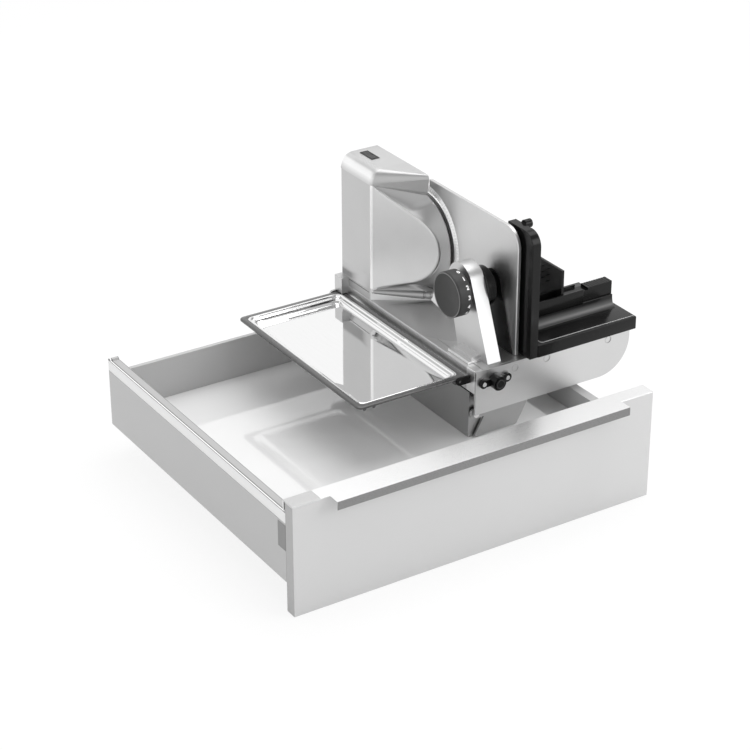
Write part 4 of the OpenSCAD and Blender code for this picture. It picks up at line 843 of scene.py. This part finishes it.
def table_skin():
    """The table as a solid section along x, with rounded front and back edges on top."""
    t = TABLE
    corners = [(t["y0"], t["z0"]), (t["y1"], t["z0"]), (t["y1"], t["z1"]), (t["y0"], t["z1"])]
    return along_x(rounded(corners, [0.6, 0.6, 1.6, 1.6], 5), t["x0"], t["x1"], 0.7)


def bead_skin():
    """The raised bead along the table's front edge and round its left corner, a thin round strip."""
    t = TABLE
    corner = (t["x0"] + 9.0, t["y0"] + 5.0)
    start, end = (t["x1"] - 1.4, corner[1]), (corner[0], t["y0"] + 16.0)
    bend = rounded([start, corner, end], [0.0, 4.0, 0.0], 6)[7:14]
    way = np.concatenate([[start], bend, [end]])
    return tube(np.column_stack([way, np.full(len(way), t["z1"] + 0.05)]), 0.55, 10)


def bed_skin():
    """The low bed under the grip in section: a round foot that sweeps up from the table in front and
    behind, and a rounded top."""
    f, t = FENCE, TABLE
    top, r = f["bed"], 1.3
    a = np.linspace(0, np.pi / 2, 10)
    reach, rise, back_r = 9.5, 17.0, 4.0
    front = np.column_stack([f["y0"] - reach + reach * np.sin(a), t["z1"] + rise - rise * np.cos(a)])
    back = np.column_stack([f["y1"] + back_r - back_r * np.sin(a), t["z1"] + back_r - back_r * np.cos(a)])
    over = np.column_stack([f["y0"] + r - r * np.cos(a), top - r + r * np.sin(a)])
    over_back = np.column_stack([f["y1"] - r + r * np.sin(a), top - r + r * np.cos(a)])
    low = t["z1"] - 1.0
    section = np.concatenate([[(f["y0"] - reach, low)], front, over, over_back, back[::-1],
                              [(f["y1"] + back_r, low)]])
    return along_x(section[::-1], t["x0"], f["bed_x1"], 0.8)


def carriage_skins():
    """Table, bead, low bed under the grip, and the two fence walls with the end between them."""
    f, x0 = FENCE, TABLE["x0"]
    low = f["bed"] - 3.0
    walls = [slab(rectangle(x0, f["x1"], y0, y1, 0.9, 3), "z", low, f["top"], 0.35, 2)
             for y0, y1 in ((f["y0"], f["y0"] + f["wall"]), (f["y1"] - f["wall"], f["y1"]))]
    end = slab(rectangle(x0, x0 + 3.0, f["y0"] + 0.4, f["y1"] - 0.4, 0.5, 3), "z", low, f["top"], 0.2, 2)
    return [table_skin(), bead_skin(), bed_skin()] + walls + [end]


def on_bead(x, y, z):
    """The part of the bead that stands above the table."""
    return (z > TABLE["z1"] + 0.06) & (z < TABLE["z1"] + 0.9) & (y < TABLE["y0"] + 17.0)


table = form("carriage_table_and_fence", carriage_skins(), TABLE_BLACK_PAINTED_HIGHLIGHT, "carriage",
             ["carriage_body"], sharp=35)
# The bead's top takes the grey painted highlight.
more_finishes(table, (BEAD_PAINTED_HIGHLIGHT, on_bead))


# ---------------------------------------------------------------- stamped rings and the folding lock

def collar(x, z, profile):
    """A closed profile of (radius, y) carried round an axis along y."""
    r, y = np.asarray(profile, float).T
    a = np.linspace(0, 2 * np.pi, 64, endpoint=False)[:, None]
    return ring_net(np.stack([x + r * np.cos(a), y + 0 * a, z + r * np.sin(a)], -1))


def bead_ring(x, y, z, radius):
    """A thin round ring about an axis along y."""
    thick = 0.28
    b = np.linspace(0, 2 * np.pi, 8, endpoint=False)
    return collar(x, z, np.stack([radius + thick * np.cos(b), y + thick * np.sin(b)], 1))


form("front_plate_rings", [bead_ring(x, PLATE_Y, MARK_Z, 5.4) for x in MARKS_X], GREY, "slicer")
form("lock_barrel", [collar(LOCK_X, LOCK_Z, [(8.5, 160.0), (8.5, 147.2), (8.9, 146.8), (10.7, 146.8), (11.2, 147.3),
                                             (11.2, 160.0)])], BLACK, "slicer")
form("lock_button_ring", [bead_ring(LOCK_X, 145.1, LOCK_Z, 6.2)], RIM_BLACK, "lock_button")


# ---------------------------------------------------------------- eased copies of the plainer nodes

EASED = [
    ("front_panel", FRONT, 0.9, 3), ("handle_strip", PULL, 0.45, 2), ("right_side", SIDE, 0.4, 2),
    ("left_side", LEFT_SIDE, 0.35, 2), ("drawer_floor", BOARD, 0.5, 2), ("back_wall", SIDE, 0.8, 3),
    ("front_brackets", BRACKET, 0.3, 2), ("pedestal", GREY, 0.5, 2), ("fold_arms", GREY, 0.5, 2),
    ("hinge_pin", BRIGHT, 0.4, 2), ("base_frame", SHEET, 0.6, 2), ("left_rail", RAIL, 1.0, 3),
    ("front_plate", SHEET, 0.5, 2), ("column", COLUMN, 0.5, 3), ("column_cover", BLACK, 1.5, 4),
    ("tray_posts", POSTS, 0.8, 3),
    ("lock_flange", BLACK, 0.9, 3), ("lock_button", BLACK, 0.8, 3), ("lock_screws", BRIGHT, 0.3, 2),
    ("switch_bezel", BLACK, 0.25, 2), ("rocker_switch", DARK, 0.3, 2), ("stop_plate", STOP, 1.3, 3),
    # The slide's black leg is made wide, out to the stop plate's front edge, as painted shade: a dark sheet where the
    # plate is in shadow.
    # The spindle's bevelled ends keep clear of the bevel at the end of the slide's bore.
    ("stop_plate_slide", BLACK, 1.2, 3), ("dial_spindle", BRIGHT, 1.0, 3),
    ("hand_guard", BLACK, 2.6, 4), ("holder_grip", BLACK, 0.7, 3),
    ("holder_plate", BLACK, 0.7, 2), ("carriage_shoe", BLACK, 0.4, 2), ("carriage_guide_rail", SHEET, 0.4, 2),
    ("rail_strip", BLACK, 0.3, 2), ("cable_gland", BLACK, 0.5, 2), ("pedestal_screws", BRIGHT, 0.3, 2),
    ("front_fixing_screws", BRIGHT, 0.3, 2), ("base_screws", BRIGHT, 0.2, 2), ("housing_cover", GREY, 0.3, 2),
    ("blade_screw", BRIGHT, 0.6, 2),
]


def lengthened(rail):
    """Moves the left rail's front end forwards, so that it meets the front plate without a gap."""
    spots = vectors(rail.data.vertices, "co")
    end, longer = seated([[0.0, RAIL_END, 0.0], [0.0, RAIL_LONGER, 0.0]])[:, 1]
    spots[:, 1] = np.where(spots[:, 1] < end, longer, spots[:, 1])
    rail.data.vertices.foreach_set("co", spots.ravel())


for node, finish, width, steps in EASED:
    piece = dressed(node, finish, width, steps)
    if node == "left_rail":
        lengthened(piece)


# ---------------------------------------------------------------- floor, light and camera

def emptied(holder):
    """The emptied node tree of a material or a world."""
    holder.use_nodes = True
    holder.node_tree.nodes.clear()
    return holder.node_tree


def send(tree, kind, share, plain, seen):
    """Sends two shaders to an output of that kind. Camera, glossy and transmission rays get the given
    share of the second one, and all other rays only the first."""
    path = add(tree, "ShaderNodeLightPath")
    factor = path.outputs["Is Camera Ray"]
    for ray in ("Is Glossy Ray", "Is Transmission Ray"):
        factor = maths(tree, "MAXIMUM", factor, path.outputs[ray])
    mix = add(tree, "ShaderNodeMixShader", ("Fac", maths(tree, "MULTIPLY", factor, share)),
              (1, plain.outputs[0]), (2, seen.outputs[0]))
    add(tree, kind, ("Surface", mix.outputs[0]))


def floor():
    """A plain pale floor that looks nearly white, with a part of its own shading, so the object's
    shadow stays."""
    side = 8.0
    mesh = bpy.data.meshes.new("studio_floor")
    corner = [(-side, -side), (side, -side), (side, side), (-side, side)]
    mesh.from_pydata([(x, y, -FLOOR_DROP / 1000.0) for x, y in corner], [], [(0, 1, 2, 3)])
    material = bpy.data.materials.new("studio_floor_white")
    tree = emptied(material)
    paint = add(tree, "ShaderNodeBsdfDiffuse", ("Color", rgba(0.8)))
    glow = add(tree, "ShaderNodeEmission", ("Color", rgba(1.0)), ("Strength", 1.06))
    send(tree, "ShaderNodeOutputMaterial", 0.80, paint, glow)
    mesh.materials.append(material)
    stage = bpy.data.objects.new("studio_floor", mesh)
    bpy.context.scene.collection.objects.link(stage)


def sky():
    """The surroundings. What is seen of them is white where the direction's z is below 0.52, and falls
    to a mid grey at 0.74 and above. All other light has one plain level."""
    world = bpy.data.worlds.new("studio_surroundings")
    bpy.context.scene.world = world
    tree = emptied(world)
    split = add(tree, "ShaderNodeSeparateXYZ", (0, add(tree, "ShaderNodeTexCoord").outputs["Generated"]))
    ramp = add(tree, "ShaderNodeValToRGB", ("Fac", split.outputs["Z"]))
    for element, position, grey in zip(ramp.color_ramp.elements, (0.52, 0.74), (1.0, 0.42)):
        element.position, element.color = position, rgba(grey)
    lit = add(tree, "ShaderNodeBackground", ("Color", rgba(1.0)), ("Strength", 0.68))
    seen = add(tree, "ShaderNodeBackground", ("Color", ramp.outputs["Color"]), ("Strength", 1.0))
    send(tree, "ShaderNodeOutputWorld", 1.0, lit, seen)


def soft_box(name, place, aim, size, power):
    """A square area lamp that looks at a point, both in metres."""
    lamp = bpy.data.lights.new(name, "AREA")
    lamp.shape, lamp.size, lamp.energy = "SQUARE", size, power
    holder = bpy.data.objects.new(name, lamp)
    way = np.array(aim) - np.array(place)
    yaw, pitch = np.arctan2(way[0], -way[1]), np.arctan2(np.hypot(way[0], way[1]), -way[2])
    holder.location = place
    holder.rotation_euler = Euler((pitch, 0.0, yaw + np.pi), "XYZ")
    bpy.context.scene.collection.objects.link(holder)


def camera():
    """The photograph's viewpoint: a long lens from the front left, 28 degrees above the horizon."""
    lens = bpy.data.cameras.new("photo_view")
    lens.lens, lens.sensor_width, lens.clip_end = 107.54, 36.0, 50.0
    holder = bpy.data.objects.new("photo_view", lens)
    elevation, azimuth, roll = 27.61, -32.30, -0.11
    turn = (Euler((0, 0, radians(azimuth))).to_matrix() @ Euler((radians(90 - elevation), 0, 0)).to_matrix()
            @ Euler((0, 0, radians(roll))).to_matrix())
    holder.rotation_euler = turn.to_euler()
    holder.location = (-1.54186, -2.44392, 1.62587)
    bpy.context.scene.collection.objects.link(holder)
    bpy.context.scene.camera = holder


floor()
sky()
soft_box("lamp_above", (0.6, 0.4, 2.6), (0.0, 0.0, 0.1), 2.4, 42.0)
soft_box("lamp_front_right", (2.2, -2.4, 1.6), (0.1, 0.0, 0.1), 1.8, 24.0)
camera()
bpy.context.scene.view_settings.view_transform = "Standard"
